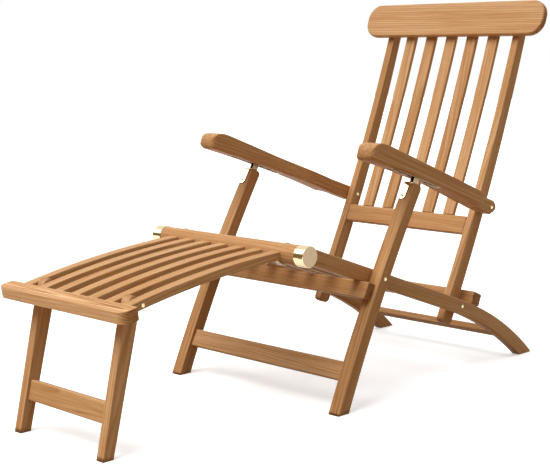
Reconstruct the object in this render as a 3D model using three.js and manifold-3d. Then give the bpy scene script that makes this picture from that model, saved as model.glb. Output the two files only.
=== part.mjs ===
// Folding steamer deck chair in teak, with a slatted leg rest and brass fittings.
// Millimetres, +Z up. The chair faces -Y, and the sitter's left hand is at +X.
// Side outlines are drawn in (y, z), with y running back and z running up.

import * as THREE from 'three';
import { mergeVertices } from 'three/addons/utils/BufferGeometryUtils.js';
import Module from 'manifold-3d';

const wasm = await Module();
wasm.setup();

// Sizes that several pieces share
const seam = 0.3;            // gap between wooden faces that touch
const arris = 2;             // small chamfer along the wooden edges
const overrun = 4;           // how far a cutter runs past the wood
const originY = 76.1;         // from the working zero to the middle of the chair's length
const boltRadius = 4;
const boltSlack = 0.3;       // between a bolt and its hole

// Where the pivots and the round bar lie, in side view
const legPivot = { y: -49, z: 300 };
const backPivot = { y: 302, z: 176 };
const restPivot = { y: -700, z: 322 };
const bar = { y: -272, z: 377, radius: 24, capRadius: 25, capLength: 29, capWall: 1.4, end: 262 };

// Widths across the chair, each from the middle plane
const rail = {
  inner: 236, thick: 24, pitchDeg: 19.8,
  topY: 106, topZ: 264, depth: 35.6, frontTopY: -250, bendTopY: 286, bendLowY: 255,
  footTopY: 623, footLowY: 566, footTopDeg: 43.5, footLowDeg: 38.7,
};
const leg = {
  inner: 262, thick: 33, tiltDeg: 27.9, below: 333, above: 248, bow: 10.5,
  footHalf: 17.5, topHalf: 15, topRound: 11,
};
const back = {
  tiltDeg: 23.5, chord: 757, bow: 14, stileInner: 206, stileThick: 21.5,
  below: 52, above: 836, lowHalf: 20, highHalf: 15, lowRound: 12, highRound: 6,
};

// Small makers of geometry

function shapeFrom(points) {
  const shape = new THREE.Shape();
  points.forEach(([a, b], index) => (index ? shape.lineTo(a, b) : shape.moveTo(a, b)));
  return shape;
}

function roundHole(a, b, radius) {
  const hole = new THREE.Path();
  hole.absarc(a, b, radius, 0, Math.PI * 2, false);
  return hole;
}

// A board with rounded corners, centred on (a, b)
function roundedBoard(a, b, width, height, radius) {
  const shape = new THREE.Shape();
  const left = a - width / 2;
  const right = a + width / 2;
  const low = b - height / 2;
  const high = b + height / 2;
  shape.moveTo(left + radius, low);
  shape.lineTo(right - radius, low);
  shape.absarc(right - radius, low + radius, radius, -Math.PI / 2, 0, false);
  shape.lineTo(right, high - radius);
  shape.absarc(right - radius, high - radius, radius, 0, Math.PI / 2, false);
  shape.lineTo(left + radius, high);
  shape.absarc(left + radius, high - radius, radius, Math.PI / 2, Math.PI, false);
  shape.lineTo(left, low + radius);
  shape.absarc(left + radius, low + radius, radius, Math.PI, Math.PI * 1.5, false);
  return shape;
}

function extruded(shape, length, edge, curveSegments) {
  const geometry = new THREE.ExtrudeGeometry(shape, {
    depth: length - 2 * edge,
    bevelEnabled: edge > 0,
    bevelThickness: edge,
    bevelSize: edge,
    bevelOffset: -edge,
    bevelSegments: 1,
    curveSegments,
  });
  geometry.translate(0, 0, edge);
  return geometry;
}

// A side outline in (y, z), run across the chair from x = start
function acrossX(shape, start, length, edge = arris, curveSegments = 6) {
  const geometry = extruded(shape, length, edge, curveSegments);
  const turn = new THREE.Matrix4().makeBasis(
    new THREE.Vector3(0, 1, 0),
    new THREE.Vector3(0, 0, 1),
    new THREE.Vector3(1, 0, 0),
  );
  geometry.applyMatrix4(turn);
  geometry.translate(start, 0, 0);
  return geometry;
}

// A front outline in (x, z), run from y = front towards the back
function alongY(shape, front, length, edge = arris, curveSegments = 6) {
  const geometry = extruded(shape, length, edge, curveSegments);
  const turn = new THREE.Matrix4().makeBasis(
    new THREE.Vector3(1, 0, 0),
    new THREE.Vector3(0, 0, 1),
    new THREE.Vector3(0, -1, 0),
  );
  geometry.applyMatrix4(turn);
  geometry.translate(0, front + length, 0);
  return geometry;
}

// A plan outline in (x, y), run upwards from z = low
function upZ(shape, low, height, edge = 0, curveSegments = 6) {
  const geometry = extruded(shape, height, edge, curveSegments);
  geometry.translate(0, 0, low);
  return geometry;
}

// Solids for the cuts and joins

function solidOf(geometry) {
  const bare = geometry.index ? geometry.toNonIndexed() : geometry.clone();
  bare.deleteAttribute('normal');
  bare.deleteAttribute('uv');
  const merged = mergeVertices(bare, seam / 1000);
  return new wasm.Manifold(new wasm.Mesh({
    numProp: 3,
    vertProperties: new Float32Array(merged.attributes.position.array),
    triVerts: new Uint32Array(merged.index.array),
  }));
}

function geometryOf(solid) {
  const mesh = solid.getMesh();
  const geometry = new THREE.BufferGeometry();
  const places = [];
  for (let vertex = 0; vertex < mesh.numVert; vertex += 1) {
    for (let axis = 0; axis < 3; axis += 1) {
      places.push(mesh.vertProperties[vertex * mesh.numProp + axis]);
    }
  }
  geometry.setAttribute('position', new THREE.Float32BufferAttribute(places, 3));
  geometry.setIndex(Array.from(mesh.triVerts));
  geometry.computeVertexNormals();
  return geometry;
}

// Materials

const teak = { color: 0xc08a55, roughness: 0.55, metalness: 0 };
const brass = { color: 0xd9b56a, roughness: 0.2, metalness: 1 };

function piece(name, geometry, finish) {
  const mesh = new THREE.Mesh(geometry, new THREE.MeshStandardMaterial(finish));
  mesh.name = name;
  return mesh;
}

// Left and right hands: +1 is the sitter's left
const sides = [['left', 1], ['right', -1]];

// Start of a run of the given width whose inner face is at inner, on either side
function startOf(side, inner, width) {
  return side > 0 ? inner : -inner - width;
}

// Bolt with a domed head, washer and riveted end, lying along x between two faces
const boltHead = { radius: 7, height: 3, washerRadius: 8, washerThick: 1.2 };

function boltGeometry(fromX, toX) {
  const length = toX - fromX;
  const { radius, height, washerRadius, washerThick } = boltHead;
  const outline = [new THREE.Vector2(0, -washerThick - height)];
  const steps = 3;
  for (let step = 1; step <= steps; step += 1) {
    const angle = (Math.PI / 2) * (step / steps);
    outline.push(new THREE.Vector2(radius * Math.sin(angle), -washerThick - height * Math.cos(angle)));
  }
  outline.push(new THREE.Vector2(washerRadius, -washerThick));
  outline.push(new THREE.Vector2(washerRadius, 0));
  outline.push(new THREE.Vector2(boltRadius, 0));
  outline.push(new THREE.Vector2(boltRadius, length));
  outline.push(new THREE.Vector2(washerRadius, length));
  outline.push(new THREE.Vector2(washerRadius, length + washerThick));
  for (let step = steps; step >= 1; step -= 1) {
    const angle = (Math.PI / 2) * (step / steps);
    const x = length + washerThick + height * Math.cos(angle);
    outline.push(new THREE.Vector2(radius * Math.sin(angle), x));
  }
  outline.push(new THREE.Vector2(0, length + washerThick + height));
  const geometry = new THREE.LatheGeometry(outline, 20);
  geometry.rotateZ(-Math.PI / 2);
  geometry.translate(fromX, 0, 0);
  return geometry;
}

function bolt(name, side, inner, outer, y, z) {
  const from = side > 0 ? inner - seam : -outer - seam;
  const to = side > 0 ? outer + seam : -inner + seam;
  const mesh = piece(name, boltGeometry(from, to), brass);
  mesh.position.set(0, y, z);
  return mesh;
}

// Seat frame

const railSlope = Math.tan(THREE.MathUtils.degToRad(rail.pitchDeg));
const railDrop = rail.depth / Math.cos(THREE.MathUtils.degToRad(rail.pitchDeg));

function railTop(y) {
  return rail.topZ - railSlope * (y - rail.topY);
}

function railLow(y) {
  return railTop(y) - railDrop;
}

// Where the straight run meets the tangent that rises from the foot
function bendPoint(startY, startZ, footY, footDeg) {
  const footSlope = Math.tan(THREE.MathUtils.degToRad(footDeg));
  const y = (footSlope * footY - startZ - railSlope * startY) / (footSlope - railSlope);
  return [y, startZ - railSlope * (y - startY)];
}

// Curved one-piece side rail and rear leg, hollowed at the front to fit the round bar
function railGeometry(start) {
  const shape = new THREE.Shape();
  const topBend = bendPoint(rail.bendTopY, railTop(rail.bendTopY), rail.footTopY, rail.footTopDeg);
  const lowBend = bendPoint(rail.bendLowY, railLow(rail.bendLowY), rail.footLowY, rail.footLowDeg);
  shape.moveTo(rail.frontTopY, railLow(rail.frontTopY));
  shape.lineTo(rail.frontTopY, railTop(rail.frontTopY));
  shape.lineTo(rail.bendTopY, railTop(rail.bendTopY));
  shape.quadraticCurveTo(...topBend, rail.footTopY, 0);
  shape.lineTo(rail.footLowY, 0);
  shape.quadraticCurveTo(...lowBend, rail.bendLowY, railLow(rail.bendLowY));
  shape.holes.push(roundHole(legPivot.y, legPivot.z, boltRadius + boltSlack));
  shape.holes.push(roundHole(backPivot.y, backPivot.z, boltRadius + boltSlack));
  const reach = rail.thick + 2 * overrun;
  const hollow = new THREE.CylinderGeometry(bar.capRadius + seam, bar.capRadius + seam, reach, 48);
  hollow.rotateZ(Math.PI / 2);
  hollow.translate(start + rail.thick / 2, bar.y, bar.z);
  return geometryOf(
    solidOf(acrossX(shape, start, rail.thick, arris, 12)).subtract(solidOf(hollow)));
}

// Wooden bar, turned down at each end to go into its cap
function roundBar() {
  const neck = bar.capRadius - bar.capWall - seam;
  const shoulder = bar.end - bar.capLength - seam;
  const face = bar.end - bar.capWall - seam;
  const outline = [
    [0, -face], [neck, -face], [neck, -shoulder], [bar.radius, -shoulder],
    [bar.radius, shoulder], [neck, shoulder], [neck, face], [0, face],
  ];
  const geometry = new THREE.LatheGeometry(outline.map(([r, x]) => new THREE.Vector2(r, x)), 40);
  geometry.rotateZ(-Math.PI / 2);
  const mesh = piece('round_bar', geometry, teak);
  mesh.position.set(0, bar.y, bar.z);
  return mesh;
}

// Brass cup over the end of the bar, with a softened rim
function barCap(name, side) {
  const inside = bar.capRadius - bar.capWall;
  const open = bar.end - bar.capLength;
  const soft = bar.capWall;
  const outline = [
    [0, bar.end - bar.capWall], [inside, bar.end - bar.capWall], [inside, open],
    [bar.capRadius, open], [bar.capRadius, bar.end - soft], [bar.capRadius - soft, bar.end], [0, bar.end],
  ];
  const geometry = new THREE.LatheGeometry(outline.map(([r, x]) => new THREE.Vector2(r, x)), 40);
  geometry.rotateZ(-Math.PI / 2);
  if (side < 0) {
    geometry.rotateY(Math.PI);
  }
  const mesh = piece(name, geometry, brass);
  mesh.position.set(0, bar.y, bar.z);
  return mesh;
}

const seatSlat = { count: 6, pitch: 67, width: 34, thick: 12, frontY: -240, rearY: 275 };
const seatRail = { width: 32, thick: 10, inset: 1, frontY: -220, rearY: 240, round: 2 };

// Height of a line that lies a given distance above the rails' lower edge
function overRailLow(y, lift) {
  return railLow(y) + lift / Math.cos(THREE.MathUtils.degToRad(rail.pitchDeg));
}

function seatSlatShape() {
  const { frontY, rearY, thick } = seatSlat;
  const low = seatRail.inset + seatRail.thick + seam;
  return shapeFrom([
    [frontY, overRailLow(frontY, low)], [rearY, overRailLow(rearY, low)],
    [rearY, overRailLow(rearY, low + thick)], [frontY, overRailLow(frontY, low + thick)],
  ]);
}

// Thin cross rail between the side rails that carries the seat slats
function seatRailMesh(name, y) {
  const { width, thick, inset, round } = seatRail;
  const reach = rail.inner - seam;
  const shape = roundedBoard(0, inset + thick / 2, width, thick, round);
  const mesh = piece(name, acrossX(shape, -reach, 2 * reach, arris / 2), teak);
  mesh.position.set(0, y, railLow(y));
  mesh.rotation.x = -THREE.MathUtils.degToRad(rail.pitchDeg);
  return mesh;
}

const crossbar = { width: 36, height: 33, alongY: 358, round: 3 };

// Heavy bar that lies on both rails behind the back and stops it
function rearCrossbar() {
  const reach = rail.inner + rail.thick;
  const shape = roundedBoard(0, crossbar.height / 2, crossbar.width, crossbar.height, crossbar.round);
  const mesh = piece('rear_crossbar', acrossX(shape, -reach, 2 * reach), teak);
  mesh.position.set(0, crossbar.alongY, railTopAt(crossbar.alongY) + seam);
  mesh.rotation.x = -railTiltAt(crossbar.alongY, crossbar.width);
  return mesh;
}

// Height of the rail's top edge past its bend, from the same curve as its outline
function railTopAt(y) {
  const [controlY, controlZ] = bendPoint(
    rail.bendTopY, railTop(rail.bendTopY), rail.footTopY, rail.footTopDeg);
  const curve = new THREE.QuadraticBezierCurve(
    new THREE.Vector2(rail.bendTopY, railTop(rail.bendTopY)),
    new THREE.Vector2(controlY, controlZ),
    new THREE.Vector2(rail.footTopY, 0),
  );
  let low = 0;
  let high = 1;
  for (let turn = 0; turn < 30; turn += 1) {
    const middle = (low + high) / 2;
    if (curve.getPoint(middle).x < y) {
      low = middle;
    } else {
      high = middle;
    }
  }
  return curve.getPoint(low).y;
}

function railTiltAt(y, span) {
  return Math.atan2(railTopAt(y - span / 2) - railTopAt(y + span / 2), span);
}

const rearStretcher = { y: 497, z: 72, width: 24, height: 18, round: 2.5, tiltDeg: 38 };

function seatFrame() {
  const group = new THREE.Group();
  sides.forEach(([hand, side]) => {
    const start = startOf(side, rail.inner, rail.thick);
    group.add(piece(`rail_${hand}`, railGeometry(start), teak));
    group.add(barCap(`bar_cap_${hand}`, side));
  });
  group.add(roundBar());
  for (let index = 0; index < seatSlat.count; index += 1) {
    const x = (index - (seatSlat.count - 1) / 2) * seatSlat.pitch;
    const geometry = acrossX(seatSlatShape(), x - seatSlat.width / 2, seatSlat.width);
    group.add(piece(`seat_slat_${index + 1}`, geometry, teak));
  }
  group.add(seatRailMesh('seat_rail_front', seatRail.frontY));
  group.add(seatRailMesh('seat_rail_rear', seatRail.rearY));
  group.add(rearCrossbar());
  const stretcherShape = roundedBoard(0, 0, rearStretcher.width, rearStretcher.height, rearStretcher.round);
  const reach = rail.inner - seam;
  const stretcher = piece('rear_stretcher', acrossX(stretcherShape, -reach, 2 * reach), teak);
  stretcher.position.set(0, rearStretcher.y, rearStretcher.z);
  stretcher.rotation.x = -THREE.MathUtils.degToRad(rearStretcher.tiltDeg);
  group.add(stretcher);
  return group;
}

// Front legs, drawn about their pivot, with z along the leg

const legTilt = THREE.MathUtils.degToRad(leg.tiltDeg);

// Height along the leg at which a line, offset back by offset, meets the floor
function legFloor(offset) {
  return (offset * Math.sin(legTilt) - legPivot.z) / Math.cos(legTilt);
}

// Offset of the leg's middle line, which bows towards the front
function legCurve(along) {
  const half = (leg.above + leg.below) / 2;
  const share = (along - leg.above + half) / half;
  return leg.bow * share * share;
}

function legHalf(along) {
  return leg.footHalf + (leg.topHalf - leg.footHalf) * ((along + leg.below) / (leg.above + leg.below));
}

function legFront(along) {
  return legCurve(along) - legHalf(along);
}

function legRear(along) {
  return legCurve(along) + legHalf(along);
}

function legShape() {
  const top = leg.above;
  const high = top - leg.topRound;
  const low = -leg.below + 2 * leg.footHalf;
  const footFront = legFront(-leg.below);
  const footRear = legRear(-leg.below);
  const shape = shapeFrom([
    [footRear, legFloor(footRear)], ...curvedMember(low, high, legFront, legRear, 12).slice(0, 13),
  ]);
  shape.quadraticCurveTo(legRear(high), top, legRear(high) - leg.topRound, top);
  shape.lineTo(legFront(high) + leg.topRound, top);
  shape.quadraticCurveTo(legFront(high), top, legFront(high), high);
  curvedMember(low, high, legFront, legRear, 12).slice(14).forEach(([a, b]) => shape.lineTo(a, b));
  shape.lineTo(footFront, legFloor(footFront));
  shape.holes.push(roundHole(0, 0, boltRadius + boltSlack));
  return shape;
}

const seatBoard = { thick: 25, height: 45, legLap: 24 };
const legStretcher = { thick: 22, height: 45, alongLeg: -236, round: 3 };

// Wide board lapped on the front of the legs, its top bevelled to lie under the rails
function seatBoardShape() {
  const railPitch = THREE.MathUtils.degToRad(rail.pitchDeg);
  const bevel = Math.tan(legTilt - railPitch);
  const drop = (legPivot.z - railLow(legPivot.y)) * Math.cos(railPitch);
  const below = drop / Math.cos(legTilt - railPitch) + seam;
  const rearFace = Math.min(legFront(-below), legFront(-below - seatBoard.height)) - seam;
  const frontFace = rearFace - seatBoard.thick;
  const rearTop = -below + bevel * rearFace;
  const frontTop = -below + bevel * frontFace;
  return shapeFrom([
    [frontFace, frontTop - seatBoard.height], [rearFace, frontTop - seatBoard.height],
    [rearFace, rearTop], [frontFace, frontTop],
  ]);
}

// Brass hook: a leaf down the front of the leg, a cap over its top and a tongue for the arm's track
const hook = {
  width: 28, leafThick: 2.4, leafLength: 50, tongueThick: 9, tongueRadius: 10.5, tongueRise: 21,
  stemHalf: 10, screwRadius: 3.2, screwRise: 1.2,
};

function legHook(name, side) {
  const { width, leafThick, leafLength, tongueRadius, stemHalf, screwRadius, screwRise } = hook;
  const centre = side * (leg.inner + leg.thick / 2);
  const start = centre - width / 2;
  const high = leg.above - leg.topRound;
  const low = leg.above - leafLength;
  const capLow = leg.above + seam;
  const capHigh = capLow + leafThick;
  const inner = (along) => legFront(along) - seam;
  const outer = (along) => legFront(along) - seam - leafThick;
  const face = inner(high);
  const strap = shapeFrom(curvedMember(low, high, outer, inner, 3).slice(0, 4));
  strap.quadraticCurveTo(face, capLow, face + leg.topRound, capLow);
  strap.lineTo(legRear(high) - leg.topRound, capLow);
  strap.lineTo(legRear(high) - leg.topRound, capHigh);
  strap.lineTo(face + leg.topRound / 2, capHigh);
  strap.quadraticCurveTo(face - leafThick, capHigh, face - leafThick, high);
  curvedMember(low, high, outer, inner, 3).slice(5).forEach(([a, b]) => strap.lineTo(a, b));
  const strapSolid = solidOf(acrossX(strap, start, width, 0));
  const outline = roundedBoard(centre, leg.above, width, 2 * leafLength, width / 2 - seam);
  const trim = solidOf(alongY(outline, face - 3 * overrun, 2 * leg.topHalf + 6 * overrun, 0, 8));
  const tongueTop = leg.above + hook.tongueRise;
  const middle = legCurve(leg.above);
  const tongue = new THREE.Shape();
  tongue.moveTo(middle - stemHalf, capLow + leafThick / 2);
  tongue.lineTo(middle + stemHalf, capLow + leafThick / 2);
  tongue.lineTo(middle + tongueRadius, tongueTop);
  tongue.absarc(middle, tongueTop, tongueRadius, 0, Math.PI, false);
  const tongueStart = centre - hook.tongueThick / 2;
  const tongueSolid = solidOf(acrossX(tongue, tongueStart, hook.tongueThick, 0, 8));
  const screw = new THREE.CylinderGeometry(screwRadius, screwRadius, screwRise + leafThick, 14);
  screw.translate(centre, outer(low + width / 2) - screwRise / 2 + leafThick / 2, low + width / 2);
  const whole = strapSolid.intersect(trim).add(tongueSolid).add(solidOf(screw));
  return piece(name, geometryOf(whole), brass);
}

function frontLegs() {
  const group = new THREE.Group();
  sides.forEach(([hand, side]) => {
    const start = startOf(side, leg.inner, leg.thick);
    group.add(piece(`front_leg_${hand}`, acrossX(legShape(), start, leg.thick, arris, 10), teak));
    group.add(legHook(`leg_hook_${hand}`, side));
    group.add(bolt(`leg_bolt_${hand}`, side, rail.inner, leg.inner + leg.thick, 0, 0));
  });
  const boardReach = leg.inner + seatBoard.legLap;
  const board = acrossX(seatBoardShape(), -boardReach, 2 * boardReach);
  group.add(piece('seat_support_board', board, teak));
  const reach = leg.inner - seam;
  const along = legStretcher.alongLeg;
  const offset = legCurve(along);
  const shape = roundedBoard(offset, along, legStretcher.thick, legStretcher.height, legStretcher.round);
  group.add(piece('front_stretcher', acrossX(shape, -reach, 2 * reach), teak));
  group.position.set(0, legPivot.y, legPivot.z);
  group.rotation.x = -legTilt;
  return group;
}

// Back, drawn about its pivot, with z along the chord of its curve

const backTilt = THREE.MathUtils.degToRad(back.tiltDeg);

function backCurve(along) {
  const share = along / back.chord;
  return 4 * back.bow * share * (1 - share);
}

function stileHalf(along) {
  const share = Math.min(Math.max(along / back.chord, 0), 1);
  return back.lowHalf + (back.highHalf - back.lowHalf) * share;
}

function backFront(along) {
  return backCurve(along) - stileHalf(along);
}

// Points of a curved member between two heights; depth is taken back from its front
function curvedMember(low, high, frontAt, rearAt, steps = 10) {
  const points = [];
  for (let step = 0; step <= steps; step += 1) {
    const along = low + (high - low) * (step / steps);
    points.push([rearAt(along), along]);
  }
  for (let step = steps; step >= 0; step -= 1) {
    const along = low + (high - low) * (step / steps);
    points.push([frontAt(along), along]);
  }
  return points;
}

function stileShape() {
  const low = -back.below + back.lowRound;
  const high = back.above - back.highRound;
  const rearAt = (along) => backCurve(along) + stileHalf(along);
  const points = curvedMember(low, high, backFront, rearAt);
  const shape = shapeFrom(points);
  const foot = backCurve(low);
  const half = back.lowHalf;
  shape.quadraticCurveTo(foot - half, -back.below, foot - half + back.lowRound, -back.below);
  shape.lineTo(foot + half - back.lowRound, -back.below);
  shape.quadraticCurveTo(foot + half, -back.below, foot + half, low);
  const armAlong = armPivotAlong();
  shape.holes.push(roundHole(0, 0, boltRadius + boltSlack));
  shape.holes.push(roundHole(backCurve(armAlong), armAlong, boltRadius + boltSlack));
  return shape;
}

const midRail = { low: 191, height: 48, thick: 20, round: 3 };
const backSlat = { count: 5, pitch: 71, width: 34, thick: 11 };
const headrest = { low: 743, height: 99, thick: 20, reach: 305, round: 42, edge: 4 };

function backFrame() {
  const group = new THREE.Group();
  sides.forEach(([hand, side]) => {
    const start = startOf(side, back.stileInner, back.stileThick);
    group.add(piece(`back_stile_${hand}`, acrossX(stileShape(), start, back.stileThick), teak));
    group.add(bolt(`back_bolt_${hand}`, side, back.stileInner, rail.inner + rail.thick, 0, 0));
  });
  const slatLow = midRail.low + midRail.height + seam;
  const slatRear = (along) => backFront(along) + backSlat.thick;
  for (let index = 0; index < backSlat.count; index += 1) {
    const x = (index - (backSlat.count - 1) / 2) * backSlat.pitch;
    const shape = shapeFrom(curvedMember(slatLow, back.above, backFront, slatRear, 8));
    const geometry = acrossX(shape, x - backSlat.width / 2, backSlat.width);
    group.add(piece(`back_slat_${index + 1}`, geometry, teak));
  }
  const reach = back.stileInner - seam;
  const railMiddle = midRail.low + midRail.height / 2;
  const railShapeBoard = roundedBoard(
    backFront(railMiddle) + midRail.thick / 2, railMiddle,
    midRail.thick, midRail.height, midRail.round);
  group.add(piece('back_mid_rail', acrossX(railShapeBoard, -reach, 2 * reach), teak));
  const headMiddle = headrest.low + headrest.height / 2;
  const board = roundedBoard(0, 0, 2 * headrest.reach, headrest.height, headrest.round);
  const lean = (backFront(headrest.low) - backFront(back.above)) / (back.above - headrest.low);
  const plank = alongY(board, -headrest.thick - seam, headrest.thick, headrest.edge, 8);
  const head = piece('headrest', plank, teak);
  head.position.set(0, backFront(headMiddle), headMiddle);
  head.rotation.x = Math.atan(lean);
  group.add(head);
  group.position.set(0, backPivot.y, backPivot.z);
  group.rotation.x = -backTilt;
  return group;
}

// Arms, drawn about their pivot, with -y running forward along the arm

// Brass track let into the underside, with a slot and notches that the tongue drops into
const track = {
  from: 258, length: 199, width: 20, thick: 2.6, face: -11.4, slotWidth: 11.5, slotEnd: 9,
  grooveTop: 7, notchRadius: 4, notchShares: [0.24, 0.41, 0.58, 0.75],
};
const trackMiddle = track.from + track.length / 2;

// Sizes ending in Back are measured back from the arm's nose
const arm = {
  tiltDeg: 19, pivotRise: 275, pinHalf: 19, noseRun: 96,
  topFlat: 90, topBend: 250, topBendRise: 26, topHigh: 33, topHighBack: 53,
  noseBack: 5, noseZ: 5, lowFront: -16, lowFrontBack: 15, lowBend: -4, lowBendAt: 300,
  lowRear: -19, lowRearAt: 60, stileGap: 1, tongueThick: 32.5, stepFrom: 62, stepTo: 92,
  innerStep: 18.5, width: 53, innerBendFrom: 120, innerBendTo: 330, noseRound: 12,
};
const armLength = track.from + track.length + arm.noseRun;
const tongueInner = back.stileInner + back.stileThick + arm.stileGap;
const tongueOuter = tongueInner + arm.tongueThick;
const armInner = tongueInner + arm.innerStep;
const armOuter = armInner + arm.width;

function armPivotAlong() {
  return arm.pivotRise;
}

// Side outline of the arm, with forward distances turned to -y
function armSideShape() {
  const shape = new THREE.Shape();
  shape.moveTo(-arm.topFlat, arm.pinHalf);
  shape.quadraticCurveTo(-arm.topBend, arm.topBendRise, -armLength + arm.topHighBack, arm.topHigh);
  shape.quadraticCurveTo(-armLength + arm.noseBack, arm.topHigh, -armLength, arm.noseZ);
  shape.quadraticCurveTo(
    -armLength, arm.lowFront, -armLength + arm.lowFrontBack, arm.lowFront);
  shape.quadraticCurveTo(-arm.lowBendAt, arm.lowBend, -arm.lowRearAt, arm.lowRear);
  shape.lineTo(0, -arm.pinHalf);
  shape.absarc(0, 0, arm.pinHalf, -Math.PI / 2, Math.PI / 2, false);
  shape.holes.push(roundHole(0, 0, boltRadius + boltSlack));
  return shape;
}

// Plan outline of the left arm: a narrow tongue behind, a step, and a broad front
function armPlanShape() {
  const shape = new THREE.Shape();
  const behind = arm.pinHalf + overrun;
  shape.moveTo(tongueInner, behind);
  shape.lineTo(tongueInner, -arm.innerBendFrom);
  shape.bezierCurveTo(
    tongueInner, -(arm.innerBendFrom * 2 + arm.innerBendTo) / 3,
    armInner, -(arm.innerBendFrom + arm.innerBendTo * 2) / 3,
    armInner, -arm.innerBendTo);
  shape.lineTo(armInner, -armLength + arm.noseRound);
  shape.quadraticCurveTo(armInner, -armLength, armInner + arm.noseRound, -armLength);
  shape.lineTo(armOuter - arm.noseRound, -armLength);
  shape.quadraticCurveTo(armOuter, -armLength, armOuter, -armLength + arm.noseRound);
  shape.lineTo(armOuter, -arm.stepTo);
  shape.quadraticCurveTo(tongueOuter, -arm.stepTo, tongueOuter, -arm.stepFrom);
  shape.lineTo(tongueOuter, behind);
  return shape;
}

function trackCentre() {
  return leg.inner + leg.thick / 2;
}

function slotShape(width, ends) {
  const length = track.length - 2 * ends;
  return roundedBoard(trackCentre(), -trackMiddle, width, length, (width - seam) / 2);
}

function armSolid() {
  const width = armOuter - tongueInner + 2 * overrun;
  const side = solidOf(acrossX(armSideShape(), tongueInner - overrun, width, 0, 10));
  const low = arm.lowRear - overrun;
  const plan = solidOf(upZ(armPlanShape(), low, arm.topHigh + overrun - low, 0, 8));
  const bed = roundedBoard(
    trackCentre(), -trackMiddle, track.width + 2 * seam, track.length + 2 * seam, seam);
  const bedSolid = solidOf(upZ(bed, low, track.face + track.thick + seam - low));
  const groove = solidOf(
    upZ(slotShape(track.slotWidth, track.slotEnd), low, track.grooveTop - low));
  return side.intersect(plan).subtract(bedSolid).subtract(groove);
}

function trackSolid() {
  const plate = roundedBoard(trackCentre(), -trackMiddle, track.width, track.length, seam);
  plate.holes.push(new THREE.Path(slotShape(track.slotWidth, track.slotEnd).getPoints(6)));
  let solid = solidOf(upZ(plate, track.face, track.thick));
  const { notchRadius, thick } = track;
  track.notchShares.forEach((share) => {
    const notch = new THREE.CylinderGeometry(notchRadius, notchRadius, 2 * thick, 12);
    notch.rotateX(Math.PI / 2);
    const x = trackCentre() - track.slotWidth / 2 + seam;
    notch.translate(x, -(track.from + share * track.length), track.face + thick / 2);
    solid = solid.subtract(solidOf(notch));
  });
  return solid;
}

function handed(solid, side) {
  return geometryOf(side > 0 ? solid : solid.mirror([1, 0, 0]));
}

function arms() {
  const group = new THREE.Group();
  sides.forEach(([hand, side]) => {
    group.add(piece(`arm_${hand}`, handed(armSolid(), side), teak));
    group.add(piece(`arm_track_${hand}`, handed(trackSolid(), side), brass));
    group.add(bolt(`arm_bolt_${hand}`, side, back.stileInner, tongueOuter, 0, 0));
  });
  const along = armPivotAlong();
  const offset = backCurve(along);
  group.position.set(
    0,
    backPivot.y + along * Math.sin(backTilt) + offset * Math.cos(backTilt),
    backPivot.z + along * Math.cos(backTilt) - offset * Math.sin(backTilt),
  );
  group.rotation.x = -THREE.MathUtils.degToRad(arm.tiltDeg);
  return group;
}

// Leg rest, drawn about the round bar's axis

const rest = {
  count: 7, pitch: 59, width: 28, depth: 20, innerDepth: 13,
  rearTop: 15.5, fall: 25.9, sag: 45, length: 457,
};

// Drop of the slats' top below its rear end, at a distance forward from there
function restFall(forward) {
  const share = forward / rest.length;
  return rest.fall * share + rest.sag * share * share;
}

function restRearAt(height) {
  return -Math.sqrt((bar.radius + seam) ** 2 - height ** 2);
}

function restSlope(forward) {
  return (rest.fall + 2 * rest.sag * (forward / rest.length)) / rest.length;
}

function restSlatShape(depth) {
  const points = [];
  const steps = 10;
  const start = restRearAt(rest.rearTop);
  for (let step = 0; step <= steps; step += 1) {
    const forward = rest.length * (step / steps);
    points.push([start - forward, rest.rearTop - restFall(forward)]);
  }
  for (let step = steps; step >= 1; step -= 1) {
    const forward = rest.length * (step / steps);
    const angle = Math.atan(restSlope(forward));
    points.push([
      start - forward + depth * Math.sin(angle),
      rest.rearTop - restFall(forward) - depth * Math.cos(angle),
    ]);
  }
  const ends = 4;
  for (let step = 0; step < ends; step += 1) {
    const height = rest.rearTop - depth * (1 - step / ends);
    points.push([restRearAt(height), height]);
  }
  return shapeFrom(points.reverse());
}

const footBoard = {
  width: 44, thick: 25, reach: 240, proud: 16, round: 5, frontCorner: 26, rearCorner: 8,
  grooveWidth: 2.4, grooveDepth: 1.2, grooveShares: [0.22, 0.38, 0.54],
};

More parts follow.
